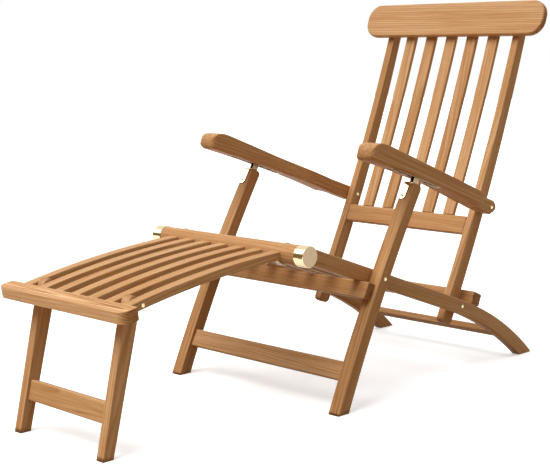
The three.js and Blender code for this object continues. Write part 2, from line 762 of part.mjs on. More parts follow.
// Grooved board across the front of the leg rest, with rounded plan corners
function footBoardMesh() {
  const { width, thick, reach, round, frontCorner, rearCorner } = footBoard;
  const profile = new THREE.Shape();
  profile.moveTo(-width + round, -thick);
  profile.lineTo(-round, -thick);
  profile.quadraticCurveTo(0, -thick, 0, -thick + round);
  profile.lineTo(0, -round / 2);
  profile.quadraticCurveTo(0, 0, -round / 2, 0);
  [...footBoard.grooveShares].reverse().forEach((share) => {
    const middle = -width + share * width;
    profile.lineTo(middle + footBoard.grooveWidth / 2, 0);
    profile.lineTo(middle, -footBoard.grooveDepth);
    profile.lineTo(middle - footBoard.grooveWidth / 2, 0);
  });
  profile.lineTo(-width + round, 0);
  profile.quadraticCurveTo(-width, 0, -width, -round);
  profile.lineTo(-width, -thick + round);
  profile.quadraticCurveTo(-width, -thick, -width + round, -thick);
  const plan = new THREE.Shape();
  plan.moveTo(-reach + frontCorner, -width - overrun);
  plan.lineTo(reach - frontCorner, -width - overrun);
  plan.quadraticCurveTo(reach, -width, reach, -width + frontCorner);
  plan.lineTo(reach, -rearCorner);
  plan.quadraticCurveTo(reach, 0, reach - rearCorner, overrun);
  plan.lineTo(-reach + rearCorner, overrun);
  plan.quadraticCurveTo(-reach, 0, -reach, -rearCorner);
  plan.lineTo(-reach, -width + frontCorner);
  plan.quadraticCurveTo(-reach, -width, -reach + frontCorner, -width - overrun);
  const long = solidOf(acrossX(profile, -reach - overrun, 2 * (reach + overrun), 0, 3));
  const outline = solidOf(upZ(plan, -thick - overrun, thick + 2 * overrun, 0, 8));
  const mesh = piece('rest_front_board', geometryOf(long.intersect(outline)), teak);
  const end = rest.length;
  const angle = Math.atan(restSlope(end));
  const { proud } = footBoard;
  mesh.position.set(
    0,
    restRearAt(rest.rearTop) - end - seam * Math.cos(angle) - proud * Math.sin(angle),
    rest.rearTop - restFall(end) - seam * Math.sin(angle) + proud * Math.cos(angle),
  );
  mesh.rotation.x = angle;
  return mesh;
}

const batten = { width: 26, thick: 10, rearAt: 42, frontAt: 300 };

// Cross batten under the inner slats, square to them at its place
function battenMesh(name, forward, reach) {
  const angle = Math.atan(restSlope(forward));
  const below = rest.innerDepth + seam;
  const shape = roundedBoard(0, -batten.thick / 2, batten.width, batten.thick, arris);
  const mesh = piece(name, acrossX(shape, -reach, 2 * reach, arris / 2), teak);
  mesh.position.set(
    0,
    restRearAt(rest.rearTop) - forward + below * Math.sin(angle),
    rest.rearTop - restFall(forward) - below * Math.cos(angle),
  );
  mesh.rotation.x = angle;
  return mesh;
}

// Brass hook under each outer slat that passes below the round bar and up behind it
const restHook = { width: 14, thick: 3, flat: 40, fromDeg: 200, toDeg: 425 };

function restHookMesh(name, side) {
  const inner = bar.radius + seam * 2;
  const outer = inner + restHook.thick;
  const from = THREE.MathUtils.degToRad(restHook.fromDeg);
  const to = THREE.MathUtils.degToRad(restHook.toDeg);
  const low = rest.rearTop - rest.depth - 2 * seam;
  const meet = Math.PI - Math.asin(low / inner);
  const shape = new THREE.Shape();
  shape.moveTo(-inner - restHook.flat, low - restHook.thick - restFall(restHook.flat));
  shape.lineTo(outer * Math.cos(from), outer * Math.sin(from));
  shape.absarc(0, 0, outer, from, to, false);
  shape.absarc(0, 0, inner, to, meet, true);
  shape.lineTo(-inner - restHook.flat, low - restFall(restHook.flat));
  const x = side * rest.pitch * 3;
  return piece(name, acrossX(shape, x - restHook.width / 2, restHook.width, 0, 10), brass);
}

function legRest() {
  const group = new THREE.Group();
  const outerShape = restSlatShape(rest.depth);
  outerShape.holes.push(
    roundHole(restPivot.y - bar.y, restPivot.z - bar.z, boltRadius + boltSlack));
  for (let index = 0; index < rest.count; index += 1) {
    const x = (index - (rest.count - 1) / 2) * rest.pitch;
    const outer = index === 0 || index === rest.count - 1;
    const shape = outer ? outerShape : restSlatShape(rest.innerDepth);
    const geometry = acrossX(shape, x - rest.width / 2, rest.width, arris / 2);
    group.add(piece(`rest_slat_${index + 1}`, geometry, teak));
  }
  group.add(footBoardMesh());
  const clear = rest.pitch * 3 - rest.width / 2 - seam;
  group.add(battenMesh('rest_batten_rear', batten.rearAt, clear));
  group.add(battenMesh('rest_batten_front', batten.frontAt, rest.pitch * 2 + rest.width / 2));
  sides.forEach(([hand, side]) => group.add(restHookMesh(`rest_hook_${hand}`, side)));
  group.position.set(0, bar.y, bar.z);
  return group;
}

// Folding legs of the leg rest, drawn about their pivot, with z along the leg

const restLeg = {
  inner: 137.5, thick: 24, footY: -778, topRound: 16, kneeHalf: 18, kneeAt: 60, footHalf: 14,
};
const restStretcher = { thick: 20, height: 46, atZ: 93, round: 3 };

const restLegTilt = Math.atan2(restPivot.y - restLeg.footY, restPivot.z);

function restLegFloor(offset) {
  return (offset * Math.sin(restLegTilt) - restPivot.z) / Math.cos(restLegTilt);
}

function restLegShape() {
  const { topRound, kneeHalf, kneeAt, footHalf } = restLeg;
  const shape = new THREE.Shape();
  shape.moveTo(-footHalf, restLegFloor(-footHalf));
  shape.lineTo(footHalf, restLegFloor(footHalf));
  shape.lineTo(kneeHalf, -kneeAt);
  shape.quadraticCurveTo(kneeHalf, -kneeAt / 2, topRound, 0);
  shape.absarc(0, 0, topRound, 0, Math.PI, false);
  shape.quadraticCurveTo(-kneeHalf, -kneeAt / 2, -kneeHalf, -kneeAt);
  shape.holes.push(roundHole(0, 0, boltRadius + boltSlack));
  return shape;
}

function restLegs() {
  const group = new THREE.Group();
  const outerFace = rest.pitch * 3 + rest.width / 2;
  sides.forEach(([hand, side]) => {
    const start = startOf(side, restLeg.inner, restLeg.thick);
    group.add(piece(`rest_leg_${hand}`, acrossX(restLegShape(), start, restLeg.thick, arris, 8), teak));
    group.add(bolt(`rest_bolt_${hand}`, side, restLeg.inner, outerFace, 0, 0));
  });
  const reach = restLeg.inner - seam;
  const along = (restStretcher.atZ - restPivot.z) / Math.cos(restLegTilt);
  const shape = roundedBoard(0, along, restStretcher.thick, restStretcher.height, restStretcher.round);
  group.add(piece('rest_stretcher', acrossX(shape, -reach, 2 * reach), teak));
  group.position.set(0, restPivot.y, restPivot.z);
  group.rotation.x = -restLegTilt;
  return group;
}

// Whole chair, moved so that the origin lies on the floor at the middle of its length
const chair = new THREE.Group();
chair.add(seatFrame(), frontLegs(), backFrame(), arms(), legRest(), restLegs());
chair.position.y = originY;

export default chair;
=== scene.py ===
# Steamer deck chair in teak with brass fittings, dressed for the photograph.
# Boards are made straight, marked with their grain, then bent to their real curves.

import math
import random

import bmesh
import bpy
from mathutils import Matrix, Vector


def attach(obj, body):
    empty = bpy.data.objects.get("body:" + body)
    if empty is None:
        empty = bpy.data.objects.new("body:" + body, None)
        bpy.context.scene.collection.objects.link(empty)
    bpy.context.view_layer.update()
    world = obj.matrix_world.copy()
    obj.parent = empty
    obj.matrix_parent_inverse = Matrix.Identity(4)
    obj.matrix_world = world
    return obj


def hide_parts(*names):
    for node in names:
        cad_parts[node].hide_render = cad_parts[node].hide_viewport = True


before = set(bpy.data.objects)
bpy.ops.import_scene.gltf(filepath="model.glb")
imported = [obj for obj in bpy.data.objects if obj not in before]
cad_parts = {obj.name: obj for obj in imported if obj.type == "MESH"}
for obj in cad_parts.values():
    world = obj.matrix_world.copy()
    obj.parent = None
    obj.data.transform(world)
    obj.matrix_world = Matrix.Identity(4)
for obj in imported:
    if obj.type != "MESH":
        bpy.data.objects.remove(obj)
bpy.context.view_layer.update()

# Millimetres are turned to metres, and the chair is centred on its length
millimetre = 0.001
originY = 76.1
sides = (("left", 1), ("right", -1))

# Places and sizes that several pieces share, in millimetres
seam = 0.3
bar = {"y": -272, "z": 377, "radius": 24, "capRadius": 25, "capLength": 29, "capWall": 1.4, "end": 262}
rail = {"inner": 236, "thick": 24, "pitchDeg": 19.8, "topY": 106, "topZ": 264, "depth": 35.6,
        "frontY": -250, "bendTopY": 286, "bendLowY": 255, "bendShare": 0.585,
        "footTopY": 623, "footLowY": 566, "footTopDeg": 43.5, "footLowDeg": 38.7}
leg = {"inner": 262, "thick": 33, "tiltDeg": 27.9, "below": 333, "above": 248, "bow": 10.5,
       "footHalf": 17.5, "topHalf": 15, "topRound": 11, "pivot": (-49, 300)}
back = {"tiltDeg": 23.5, "chord": 757, "bow": 14, "inner": 206, "thick": 21.5, "below": 52,
        "above": 836, "lowHalf": 20, "highHalf": 15, "pivot": (302, 176)}
mid = {"low": 191, "height": 48, "thick": 20, "soft": 3.0, "tone": 0.46}


# Node helpers, which set nodes out in columns in the order in which they are made

def addNode(tree, kind, **settings):
    node = tree.nodes.new(kind)
    column, row = divmod(len(tree.nodes), 6)
    node.location = (column * 240, -row * 220)
    for key, value in settings.items():
        setattr(node, key, value)
    return node


# Link or set inputs, by whether each value is a socket or a plain value
def feed(tree, node, values):
    for key, value in values.items():
        if hasattr(value, "links"):
            tree.links.new(value, node.inputs[key])
        else:
            node.inputs[key].default_value = value


def mathNode(tree, operation, *values):
    node = addNode(tree, "ShaderNodeMath", operation=operation)
    feed(tree, node, dict(enumerate(values)))
    return node.outputs[0]


def vectorNode(tree, operation, *values):
    node = addNode(tree, "ShaderNodeVectorMath", operation=operation)
    feed(tree, node, dict(enumerate(values)))
    return node.outputs["Value" if operation == "LENGTH" else "Vector"]


def noiseNode(tree, vector, scale, detail=2.0, rough=0.5):
    node = addNode(tree, "ShaderNodeTexNoise")
    feed(tree, node, {"Vector": vector, "Scale": scale, "Detail": detail, "Roughness": rough})
    return node


def rangeNode(tree, value, low, high, outLow=0.0, outHigh=1.0):
    node = addNode(tree, "ShaderNodeMapRange", interpolation_type="SMOOTHSTEP")
    feed(tree, node, {"Value": value, "From Min": low, "From Max": high, "To Min": outLow, "To Max": outHigh})
    return node.outputs["Result"]


def mixColour(tree, factor, first, second, blend="MIX"):
    node = addNode(tree, "ShaderNodeMix", data_type="RGBA", blend_type=blend)
    feed(tree, node, {0: factor, 6: first, 7: second})
    return node.outputs[2]


def bumpNode(tree, height, strength, distance):
    node = addNode(tree, "ShaderNodeBump")
    feed(tree, node, {"Height": height, "Strength": strength, "Distance": distance})
    return node.outputs["Normal"]


def attributeNode(tree, name, output="Fac"):
    return addNode(tree, "ShaderNodeAttribute", attribute_name=name).outputs[output]


def newMaterial(name):
    material = bpy.data.materials.new(name)
    material.use_nodes = True
    return material, material.node_tree, material.node_tree.nodes["Principled BSDF"]


# Teak: growth rings in metres, shares of the figure, colours from dark to pale, and finish
teakLook = {
    "ringGap": 0.0056, "ringTaper": 0.022, "ringWaver": 1.6, "warp": 0.014, "warpScale": 16.0,
    "drawnOut": (1.0, 1.0, 0.09), "ringDark": (0.30, 0.90), "ringBack": (0.90, 1.0, 1.0, 0.0),
    "ringPull": (0.35, 0.65, 0.06, 0.30), "boldPull": 0.42,
    "deep": (0.205, 0.074, 0.018, 1), "mid": (0.400, 0.173, 0.055, 1),
    "light": (0.545, 0.277, 0.107, 1), "pale": (0.66, 0.385, 0.180, 1),
    "stops": ((0.05, "deep"), (0.38, "mid"), (0.66, "light"), (0.95, "pale")), "base": -0.335,
    # The pale tint is whiter and bluer than the wood itself: painted sheen, strongest on pieces with a high
    # tone
    "darkTone": (0.74, 0.67, 0.565, 1), "paleAndSheenTone": (1.36, 1.52, 1.85, 1), "toneShare": 0.60,
    "endTone": (0.66, 0.58, 0.50, 1), "wearAndHighlight": (0.35, 0.65, 0.02, 0.22), "poreRange": (0.60, 0.72),
    "rough": 0.52, "roughSpread": 0.22, "specular": 0.10, "bump": (0.35, 0.0006),
    "fibreHeight": 0.7, "poreHeight": -0.6,
}

# Stretched noises: scale across and along the board, detail, roughness and share of the figure
teakNoises = {
    "wide": ((34.0, 34.0, 1.5), 3.0, 0.55, 0.80), "streak": ((150.0, 150.0, 3.2), 5.0, 0.62, 0.95),
    "fibre": ((720.0, 720.0, 13.0), 3.0, 0.6, 0.50), "pore": ((1500.0, 1500.0, 48.0), 1.0, 0.5, -0.16),
}


# Growth rings about the pith, drawn in and out along the board: one where the late wood is darkest
def lateWood(tree, place):
    drawn = vectorNode(tree, "MULTIPLY", place, teakLook["drawnOut"])
    waver = noiseNode(tree, drawn, teakLook["warpScale"])
    offset = vectorNode(tree, "SUBTRACT", waver.outputs["Color"], (0.5, 0.5, 0.5))
    offset = vectorNode(tree, "MULTIPLY", offset, (teakLook["warp"], teakLook["warp"], 0.0))
    flat = vectorNode(tree, "MULTIPLY", place, (1.0, 1.0, 0.0))
    radius = vectorNode(tree, "LENGTH", vectorNode(tree, "ADD", flat, offset))
    parts = addNode(tree, "ShaderNodeSeparateXYZ")
    feed(tree, parts, {0: place})
    tapered = mathNode(tree, "MULTIPLY_ADD", parts.outputs["Z"], teakLook["ringTaper"], radius)
    count = mathNode(tree, "DIVIDE", tapered, teakLook["ringGap"])
    part = mathNode(tree, "FRACT", mathNode(tree, "MULTIPLY_ADD", waver.outputs["Fac"],
                                            teakLook["ringWaver"], count))
    darker = rangeNode(tree, part, *teakLook["ringDark"])
    return mathNode(tree, "MULTIPLY", darker, rangeNode(tree, part, *teakLook["ringBack"]))


def teakFigureGroup():
    tree = bpy.data.node_groups.new("teakFigure", "ShaderNodeTree")
    sockets = (("INPUT", "Grain", "Vector"), ("INPUT", "Tone", "Float"), ("INPUT", "Bold", "Float"),
               ("INPUT", "End Grain", "Float"), ("INPUT", "Edge", "Float"), ("OUTPUT", "Colour", "Color"),
               ("OUTPUT", "Roughness", "Float"), ("OUTPUT", "Height", "Float"))
    for way, name, kind in sockets:
        tree.interface.new_socket(name, in_out=way, socket_type="NodeSocket" + kind)
    source = addNode(tree, "NodeGroupInput").outputs
    late = lateWood(tree, source["Grain"])

    # Broad bands, long streaks, fine fibres and pores
    layers = {}
    for name, (scale, detail, rough, share) in teakNoises.items():
        stretched = vectorNode(tree, "MULTIPLY", source["Grain"], scale)
        layers[name] = noiseNode(tree, stretched, 1.0, detail, rough).outputs["Fac"]
    layers["pore"] = rangeNode(tree, layers["pore"], *teakLook["poreRange"])
    value = teakLook["base"]
    for name, layer in layers.items():
        value = mathNode(tree, "MULTIPLY_ADD", layer, teakNoises[name][3], value)

    # Rings show more on end grain and on boards that are marked bold
    bold = mathNode(tree, "MAXIMUM", source["End Grain"], source["Bold"])
    soft = rangeNode(tree, layers["wide"], *teakLook["ringPull"])
    pull = mathNode(tree, "MULTIPLY_ADD", bold, teakLook["boldPull"], soft)
    value = mathNode(tree, "SUBTRACT", value, mathNode(tree, "MULTIPLY", late, pull))

    ramp = addNode(tree, "ShaderNodeValToRGB")
    ramp.color_ramp.interpolation = "EASE"
    while len(ramp.color_ramp.elements) < len(teakLook["stops"]):
        ramp.color_ramp.elements.new(0.5)
    for element, (position, key) in zip(ramp.color_ramp.elements, teakLook["stops"]):
        element.position = position
        element.color = teakLook[key]
    feed(tree, ramp, {"Fac": value})

    # Tone moves each piece from a dark tint towards the pale tint, which also carries painted sheen
    share = mathNode(tree, "MULTIPLY", source["Tone"], teakLook["toneShare"])
    tint = mixColour(tree, share, teakLook["darkTone"], teakLook["paleAndSheenTone"])
    colour = mixColour(tree, 1.0, ramp.outputs["Color"], tint, "MULTIPLY")
    ended = mixColour(tree, 1.0, colour, teakLook["endTone"], "MULTIPLY")
    colour = mixColour(tree, source["End Grain"], colour, ended)
    # Rounded edges turn pale in streaks: worn edges, and also a painted highlight where light catches the
    # rounds
    wearAndHighlight = rangeNode(tree, layers["streak"], *teakLook["wearAndHighlight"])
    colour = mixColour(tree, mathNode(tree, "MULTIPLY", source["Edge"], wearAndHighlight), colour, teakLook["pale"])
    rough = mathNode(tree, "MULTIPLY_ADD", layers["fibre"], teakLook["roughSpread"],
                     teakLook["rough"] - teakLook["roughSpread"] / 2)
    height = mathNode(tree, "MULTIPLY_ADD", layers["fibre"], teakLook["fibreHeight"], layers["streak"])
    height = mathNode(tree, "MULTIPLY_ADD", layers["pore"], teakLook["poreHeight"], height)
    feed(tree, addNode(tree, "NodeGroupOutput"), {"Colour": colour, "Roughness": rough, "Height": height})
    return tree


def teakMaterial():
    material, tree, shader = newMaterial("teak")
    figure = addNode(tree, "ShaderNodeGroup", node_tree=teakFigureGroup())
    feed(tree, figure, {"Grain": attributeNode(tree, "grain", "Vector"), "Tone": attributeNode(tree, "tone"),
                        "End Grain": attributeNode(tree, "endGrain"), "Edge": attributeNode(tree, "edge"),
                        "Bold": attributeNode(tree, "bold")})
    feed(tree, shader, {"Base Color": figure.outputs["Colour"], "Roughness": figure.outputs["Roughness"],
                        "Normal": bumpNode(tree, figure.outputs["Height"], *teakLook["bump"]),
                        "Specular IOR Level": teakLook["specular"]})
    return material


# Brass: bright and cloudy, with a duller, darker colour that is partly a matte finish and partly painted
# shade, and faces painted near black as shade
brassLook = {"base": (0.88, 0.72, 0.43, 1), "dull": (0.66, 0.49, 0.25, 1), "dullShare": 0.55,
             "matteAndShade": (0.42, 0.31, 0.19, 1), "paintedShade": (0.012, 0.008, 0.005, 1),
             "rough": 0.09, "roughDull": 0.24, "roughMatte": 0.42, "roughBrushed": 0.08,
             "cloud": (55.0, 4.0, 0.6), "cloudRange": (0.48, 0.78), "brushed": (260.0, 2600.0, 2600.0),
             "bump": (0.10, 0.0002)}


def brassMaterial():
    material, tree, shader = newMaterial("brass")
    place = addNode(tree, "ShaderNodeTexCoord").outputs["Object"]
    cloud = noiseNode(tree, place, *brassLook["cloud"]).outputs["Fac"]
    marks = rangeNode(tree, cloud, *brassLook["cloudRange"])
    lines = noiseNode(tree, vectorNode(tree, "MULTIPLY", place, brassLook["brushed"]), 1.0).outputs["Fac"]
    matteAndShade = attributeNode(tree, "matteAndShade")
    colour = mixColour(tree, mathNode(tree, "MULTIPLY", marks, brassLook["dullShare"]),
                       brassLook["base"], brassLook["dull"])
    colour = mixColour(tree, matteAndShade, colour, brassLook["matteAndShade"])
    colour = mixColour(tree, attributeNode(tree, "paintedShade"), colour, brassLook["paintedShade"])
    rough = brassLook["rough"] - brassLook["roughBrushed"] / 2
    rough = mathNode(tree, "MULTIPLY_ADD", lines, brassLook["roughBrushed"], rough)
    for mask, key in ((marks, "roughDull"), (matteAndShade, "roughMatte")):
        rough = mathNode(tree, "MULTIPLY_ADD", mask, brassLook[key] - brassLook["rough"], rough)
    feed(tree, shader, {"Base Color": colour, "Roughness": rough, "Metallic": 1.0,
                        "Normal": bumpNode(tree, lines, *brassLook["bump"])})
    return material


teak = teakMaterial()
brass = brassMaterial()
print("materials made")


# Outlines and curves

# Point at a share of the way from one point to another
def between(first, second, share):
    return tuple(a + (b - a) * share for a, b in zip(first, second))


def curvePoint(start, control, end, part):
    return tuple(a * (1 - part) ** 2 + 2 * b * part * (1 - part) + c * part ** 2
                 for a, b, c in zip(start, control, end))


# Value of a curve through three control points at a place along its first axis
def curveAt(start, control, end, place):
    a = start[0] - 2 * control[0] + end[0]
    b = 2 * (control[0] - start[0])
    c = start[0] - place
    if abs(a) < 1e-9:
        part = -c / b
    else:
        root = math.sqrt(max(b * b - 4 * a * c, 0.0))
        parts = [(-b + root) / (2 * a), (-b - root) / (2 * a)]
        part = min(parts, key=lambda value: abs(value - 0.5))
    return curvePoint(start, control, end, min(max(part, 0.0), 1.0))[1]


# Value of two curves that follow each other, held level before the first
def curvesAt(points, place):
    if place < points[0][0]:
        return points[0][1]
    return curveAt(*points[:3], place) if place < points[2][0] else curveAt(*points[2:], place)


# How far a rounded corner draws an edge in, near the end of its reach
def cornerInset(place, reach, corner):
    start = reach - corner
    return 0.0 if place < start else curveAt((start, 0.0), (reach, 0.0), (reach, corner), place)


def arcPoints(centreX, centreR, radius, fromDeg, toDeg, steps=5):
    points = []
    for step in range(steps + 1):
        angle = math.radians(fromDeg + (toDeg - fromDeg) * step / steps)
        points.append((centreX + radius * math.cos(angle), centreR + radius * math.sin(angle)))
    return points


# Outline of a strip whose ends are half round or square
def stripOutline(half, long, lowRound, highRound, steps=10):
    low = arcPoints(0, half, half, 180, 360, steps) if lowRound else [(-half, 0), (half, 0)]
    high = arcPoints(0, long - half, half, 0, 180, steps) if highRound else [(half, long), (-half, long)]
    return low + high


# Mesh helpers

# Whole mesh, or some of its faces with their corners and edges, as the operators want it
def geometryOf(mesh, faces=None):
    if faces is None:
        return mesh.verts[:] + mesh.edges[:] + mesh.faces[:]
    edges = {edge for face in faces for edge in face.edges}
    corners = {vertex for face in faces for vertex in face.verts}
    return [*corners, *edges, *faces]


def only(items, kind):
    return [item for item in items if isinstance(item, kind)]


def faceOut(mesh):
    bmesh.ops.recalc_face_normals(mesh, faces=mesh.faces)


def cutPlane(mesh, spot, normal, faces=None, **settings):
    cut = bmesh.ops.bisect_plane(mesh, geom=geometryOf(mesh, faces), plane_co=spot, plane_no=normal,
                                 **settings)
    return cut["geom_cut"]


# Extrude faces and give the corners of the new ones
def extrudeFaces(mesh, faces):
    return only(bmesh.ops.extrude_face_region(mesh, geom=faces)["geom"], bmesh.types.BMVert)


def thicken(mesh, thick):
    bmesh.ops.translate(mesh, vec=(0, thick, 0), verts=extrudeFaces(mesh, mesh.faces[:]))
    faceOut(mesh)


def bevelEdges(mesh, edges, size, segments):
    bmesh.ops.bevel(mesh, geom=edges, offset=size, segments=segments, profile=0.5, affect="EDGES",
                    material=-1)


def softenEdges(mesh, size, segments=2, overDeg=50):
    edges = [edge for edge in mesh.edges if len(edge.link_faces) == 2
             and edge.calc_face_angle() > math.radians(overDeg)]
    bevelEdges(mesh, edges, size, segments)


# Flat plate with its outline in (a, c), cut into short steps along c and given a thickness
def flatPlate(points, thick, stepLength=None):
    mesh = bmesh.new()
    mesh.faces.new([mesh.verts.new((a, 0, c)) for a, c in points])
    if stepLength:
        low, high = min(c for a, c in points), max(c for a, c in points)
        count = int((high - low) / stepLength)
        for step in range(1, count):
            cutPlane(mesh, (0, 0, low + (high - low) * step / count), (0, 0, 1))
    thicken(mesh, thick)
    return mesh


# Full turn of an outline of (x, radius) points about a line across the chair
def spinAcross(points, y, z, steps=64):
    mesh = bmesh.new()
    verts = [mesh.verts.new((x, radius, 0)) for x, radius in points]
    edges = [mesh.edges.new(pair) for pair in zip(verts, verts[1:])]
    bmesh.ops.spin(mesh, geom=verts + edges, cent=(0, 0, 0), axis=(1, 0, 0), angle=math.tau,
                   steps=steps, use_merge=True)
    bmesh.ops.remove_doubles(mesh, verts=mesh.verts, dist=0.001)
    bmesh.ops.translate(mesh, vec=(0, y, z), verts=mesh.verts)
    faceOut(mesh)
    return mesh


# Board making

# Straight board along z, with rounded edges and cuts along its length and depth
def straightBoard(across, deep, long, soft, cuts, segments=2, topRound=0.0, lowRound=0.0, deepCuts=0):
    mesh = bmesh.new()
    bmesh.ops.create_cube(mesh, size=1.0)
    bmesh.ops.scale(mesh, vec=(across, deep, long), verts=mesh.verts)
    for size, end in ((topRound, 1), (lowRound, -1)):
        if size:
            edges = [edge for edge in mesh.edges
                     if all(vertex.co.z * end > long * 0.49 for vertex in edge.verts)
                     and abs(edge.verts[0].co.x - edge.verts[1].co.x) > across * 0.5]
            bevelEdges(mesh, edges, size, segments=5)
    softenEdges(mesh, soft, segments, overDeg=30)
    for axis, size, count in ((2, long, cuts), (1, deep, deepCuts)):
        if count:
            runs = [edge for edge in mesh.edges
                    if abs(edge.verts[0].co[axis] - edge.verts[1].co[axis]) > size * 0.4]
            bmesh.ops.subdivide_edges(mesh, edges=runs, cuts=count, use_grid_fill=True)
    faceOut(mesh)
    return mesh


# Board with a ring of points for each station, and the function that gives the station at a
# place along the board; its rounded ends spread a little past the first and last stations
def stationBoard(across, deep, soft, stations, spread, segments=2):
    long = 600.0
    last = len(stations) - 1
    inside = long / 2 - soft
    mesh = straightBoard(across, deep, long, soft, last - 1, segments)

    def station(c):
        spot = min(max((c + inside) / (2 * inside), 0.0), 1.0) * last
        index = min(int(spot), last - 1)
        past = c - math.copysign(min(inside, abs(c)), c)
        return stations[index] + (stations[index + 1] - stations[index]) * (spot - index) + past * spread
    return mesh, station


# What chance gives a board that names no pith or tone of its own, and how square a flat face is
grain = {"pithAway": (34.0, 95.0), "alongTo": 9000.0, "tones": (0.25, 0.75), "flat": 0.995}


# Grain place, tone, end grain and edge marks, kept from the straight shape
def markGrain(mesh, name, tone=None, pith=None, alongAxis=2):
    dice = random.Random(name)
    angle = dice.uniform(0.0, math.tau)
    away = dice.uniform(*grain["pithAway"])
    if pith is None:
        pith = (away * math.cos(angle), away * math.sin(angle))
    shift = Vector((pith[0], pith[1], dice.uniform(0.0, grain["alongTo"])))
    if tone is None:
        tone = dice.uniform(*grain["tones"])
    grainLayer = mesh.verts.layers.float_vector.new("grain")
    toneLayer = mesh.faces.layers.float.new("tone")
    endLayer = mesh.faces.layers.float.new("endGrain")
    edgeLayer = mesh.faces.layers.float.new("edge")
    for vertex in mesh.verts:
        spot = vertex.co
        if alongAxis == 0:
            spot = Vector((spot.y, spot.z, spot.x))
        vertex[grainLayer] = (spot + shift) * millimetre
    for face in mesh.faces:
        normal = face.normal
        face[toneLayer] = tone
        face[endLayer] = normal[alongAxis] ** 2
        face[edgeLayer] = 1.0 if max(abs(number) for number in normal) < grain["flat"] else 0.0


def bend(mesh, place):
    for vertex in mesh.verts:
        vertex.co = Vector(place(*vertex.co))
    mesh.normal_update()
    return mesh


# Turn about a pivot in side view: offset runs back and along runs up the member
def turned(pivot, degrees):
    angle = math.radians(degrees)
    sine, cosine = math.sin(angle), math.cos(angle)

    def place(x, offset, along):
        return (x, pivot[0] + offset * cosine + along * sine, pivot[1] - offset * sine + along * cosine)
    return place


# Cut a member off at the floor and close it with an end grain face
def cutFloor(mesh):
    endLayer = mesh.faces.layers.float["endGrain"]
    toneLayer = mesh.faces.layers.float["tone"]
    tone = next(iter(mesh.faces))[toneLayer]
    cut = cutPlane(mesh, (0, 0, 0), (0, 0, -1), clear_outer=True)
    for face in bmesh.ops.contextual_create(mesh, geom=only(cut, bmesh.types.BMEdge))["faces"]:
        face[endLayer] = 1.0
        face[toneLayer] = tone
    return mesh


# Mark brass faces for the dull colour and for painted shade, by a test of the face
def markBrass(mesh, name, test):
    layer = mesh.faces.layers.float.get(name) or mesh.faces.layers.float.new(name)
    for face in mesh.faces:
        if test(face):
            face[layer] = 1.0


def finishPiece(mesh, name, body, material, nodes, sharpDeg=None):
    faceOut(mesh)
    for vertex in mesh.verts:
        vertex.co = (vertex.co + Vector((0, originY, 0))) * millimetre
    data = bpy.data.meshes.new(name)
    mesh.to_mesh(data)
    mesh.free()
    data.materials.append(material)
    for polygon in data.polygons:
        polygon.use_smooth = True
    if sharpDeg:
        data.set_sharp_from_angle(angle=math.radians(sharpDeg))
    item = bpy.data.objects.new(name, data)
    bpy.context.scene.collection.objects.link(item)
    weighted = item.modifiers.new("evenFaces", "WEIGHTED_NORMAL")
    weighted.keep_sharp = True
    weighted.weight = 80
    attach(item, body)
    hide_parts(*nodes)


def finishTeak(mesh, node, body, sharpDeg=None):
    finishPiece(mesh, "teak_" + node, body, teak, [node], sharpDeg)


def finishBrass(mesh, node, body, sharpDeg=40):
    finishPiece(mesh, "brass_" + node, body, brass, [node], sharpDeg)


# Board that runs across the chair, its middle at (offset, along) in the frame of place
def crossBoard(name, reach, wide, high, offset, along, place, soft=2.5, tone=None, pith=None):
    mesh = straightBoard(wide, high, 2 * reach, soft, cuts=8)
    markGrain(mesh, name, tone, pith)
    return bend(mesh, lambda a, b, c: place(c, offset + a, along + b))


# Row of slats, each bent from a straight board by place(x, b, c, thick); the outer two may be thicker
def buildSlats(slat, long, name, node, body, place):
    for index in range(slat["count"]):
        x = (index - (slat["count"] - 1) / 2) * slat["pitch"]
        thick = slat.get("outerThick", slat["thick"]) if index in (0, slat["count"] - 1) else slat["thick"]
        mesh = straightBoard(slat["width"], thick, long, slat["soft"], slat["cuts"],
                             deepCuts=slat.get("deepCuts", 0))
        markGrain(mesh, "%s%d" % (name, index), slat["tones"][index])
        bend(mesh, lambda a, b, c: place(x + a, b, c, thick))
        finishTeak(mesh, "%s_%d" % (node, index + 1), body)


# Seat frame

railSlope = math.tan(math.radians(rail["pitchDeg"]))
railCos = math.cos(math.radians(rail["pitchDeg"]))


def railTop(y):
    return rail["topZ"] - railSlope * (y - rail["topY"])


def railLow(y):
    return railTop(y) - rail["depth"] / railCos


# Where the straight run of an edge and its slope at the floor meet
def bendPoint(startY, startZ, footY, footDeg):
    footSlope = math.tan(math.radians(footDeg))
    y = (footSlope * footY - startZ - railSlope * startY) / (footSlope - railSlope)
    return (y, startZ - railSlope * (y - startY))


# One edge of the rail at a share of its length: straight first, then curved to the floor
def railEdge(share, height, bendY, footY, footDeg):
    middle = (bendY, height(bendY))
    if share <= rail["bendShare"]:
        return between((rail["frontY"], height(rail["frontY"])), middle, share / rail["bendShare"])
    part = (share - rail["bendShare"]) / (1 - rail["bendShare"])
    return curvePoint(middle, bendPoint(*middle, footY, footDeg), (footY, 0.0), part)


def railTopEdge(share):
    return railEdge(share, railTop, rail["bendTopY"], rail["footTopY"], rail["footTopDeg"])


def railLowEdge(share):
    return railEdge(share, railLow, rail["bendLowY"], rail["footLowY"], rail["footLowDeg"])


# Place at a share of the rail's length and depth, kept clear of the bar's caps
def railPlace(share, depthShare):
    y, z = between(railLowEdge(share), railTopEdge(share), depthShare)
    clear = bar["capRadius"] + seam
    if math.hypot(y - bar["y"], z - bar["z"]) < clear:
        y = bar["y"] + math.sqrt(clear ** 2 - (z - bar["z"]) ** 2)
    return (y, z)


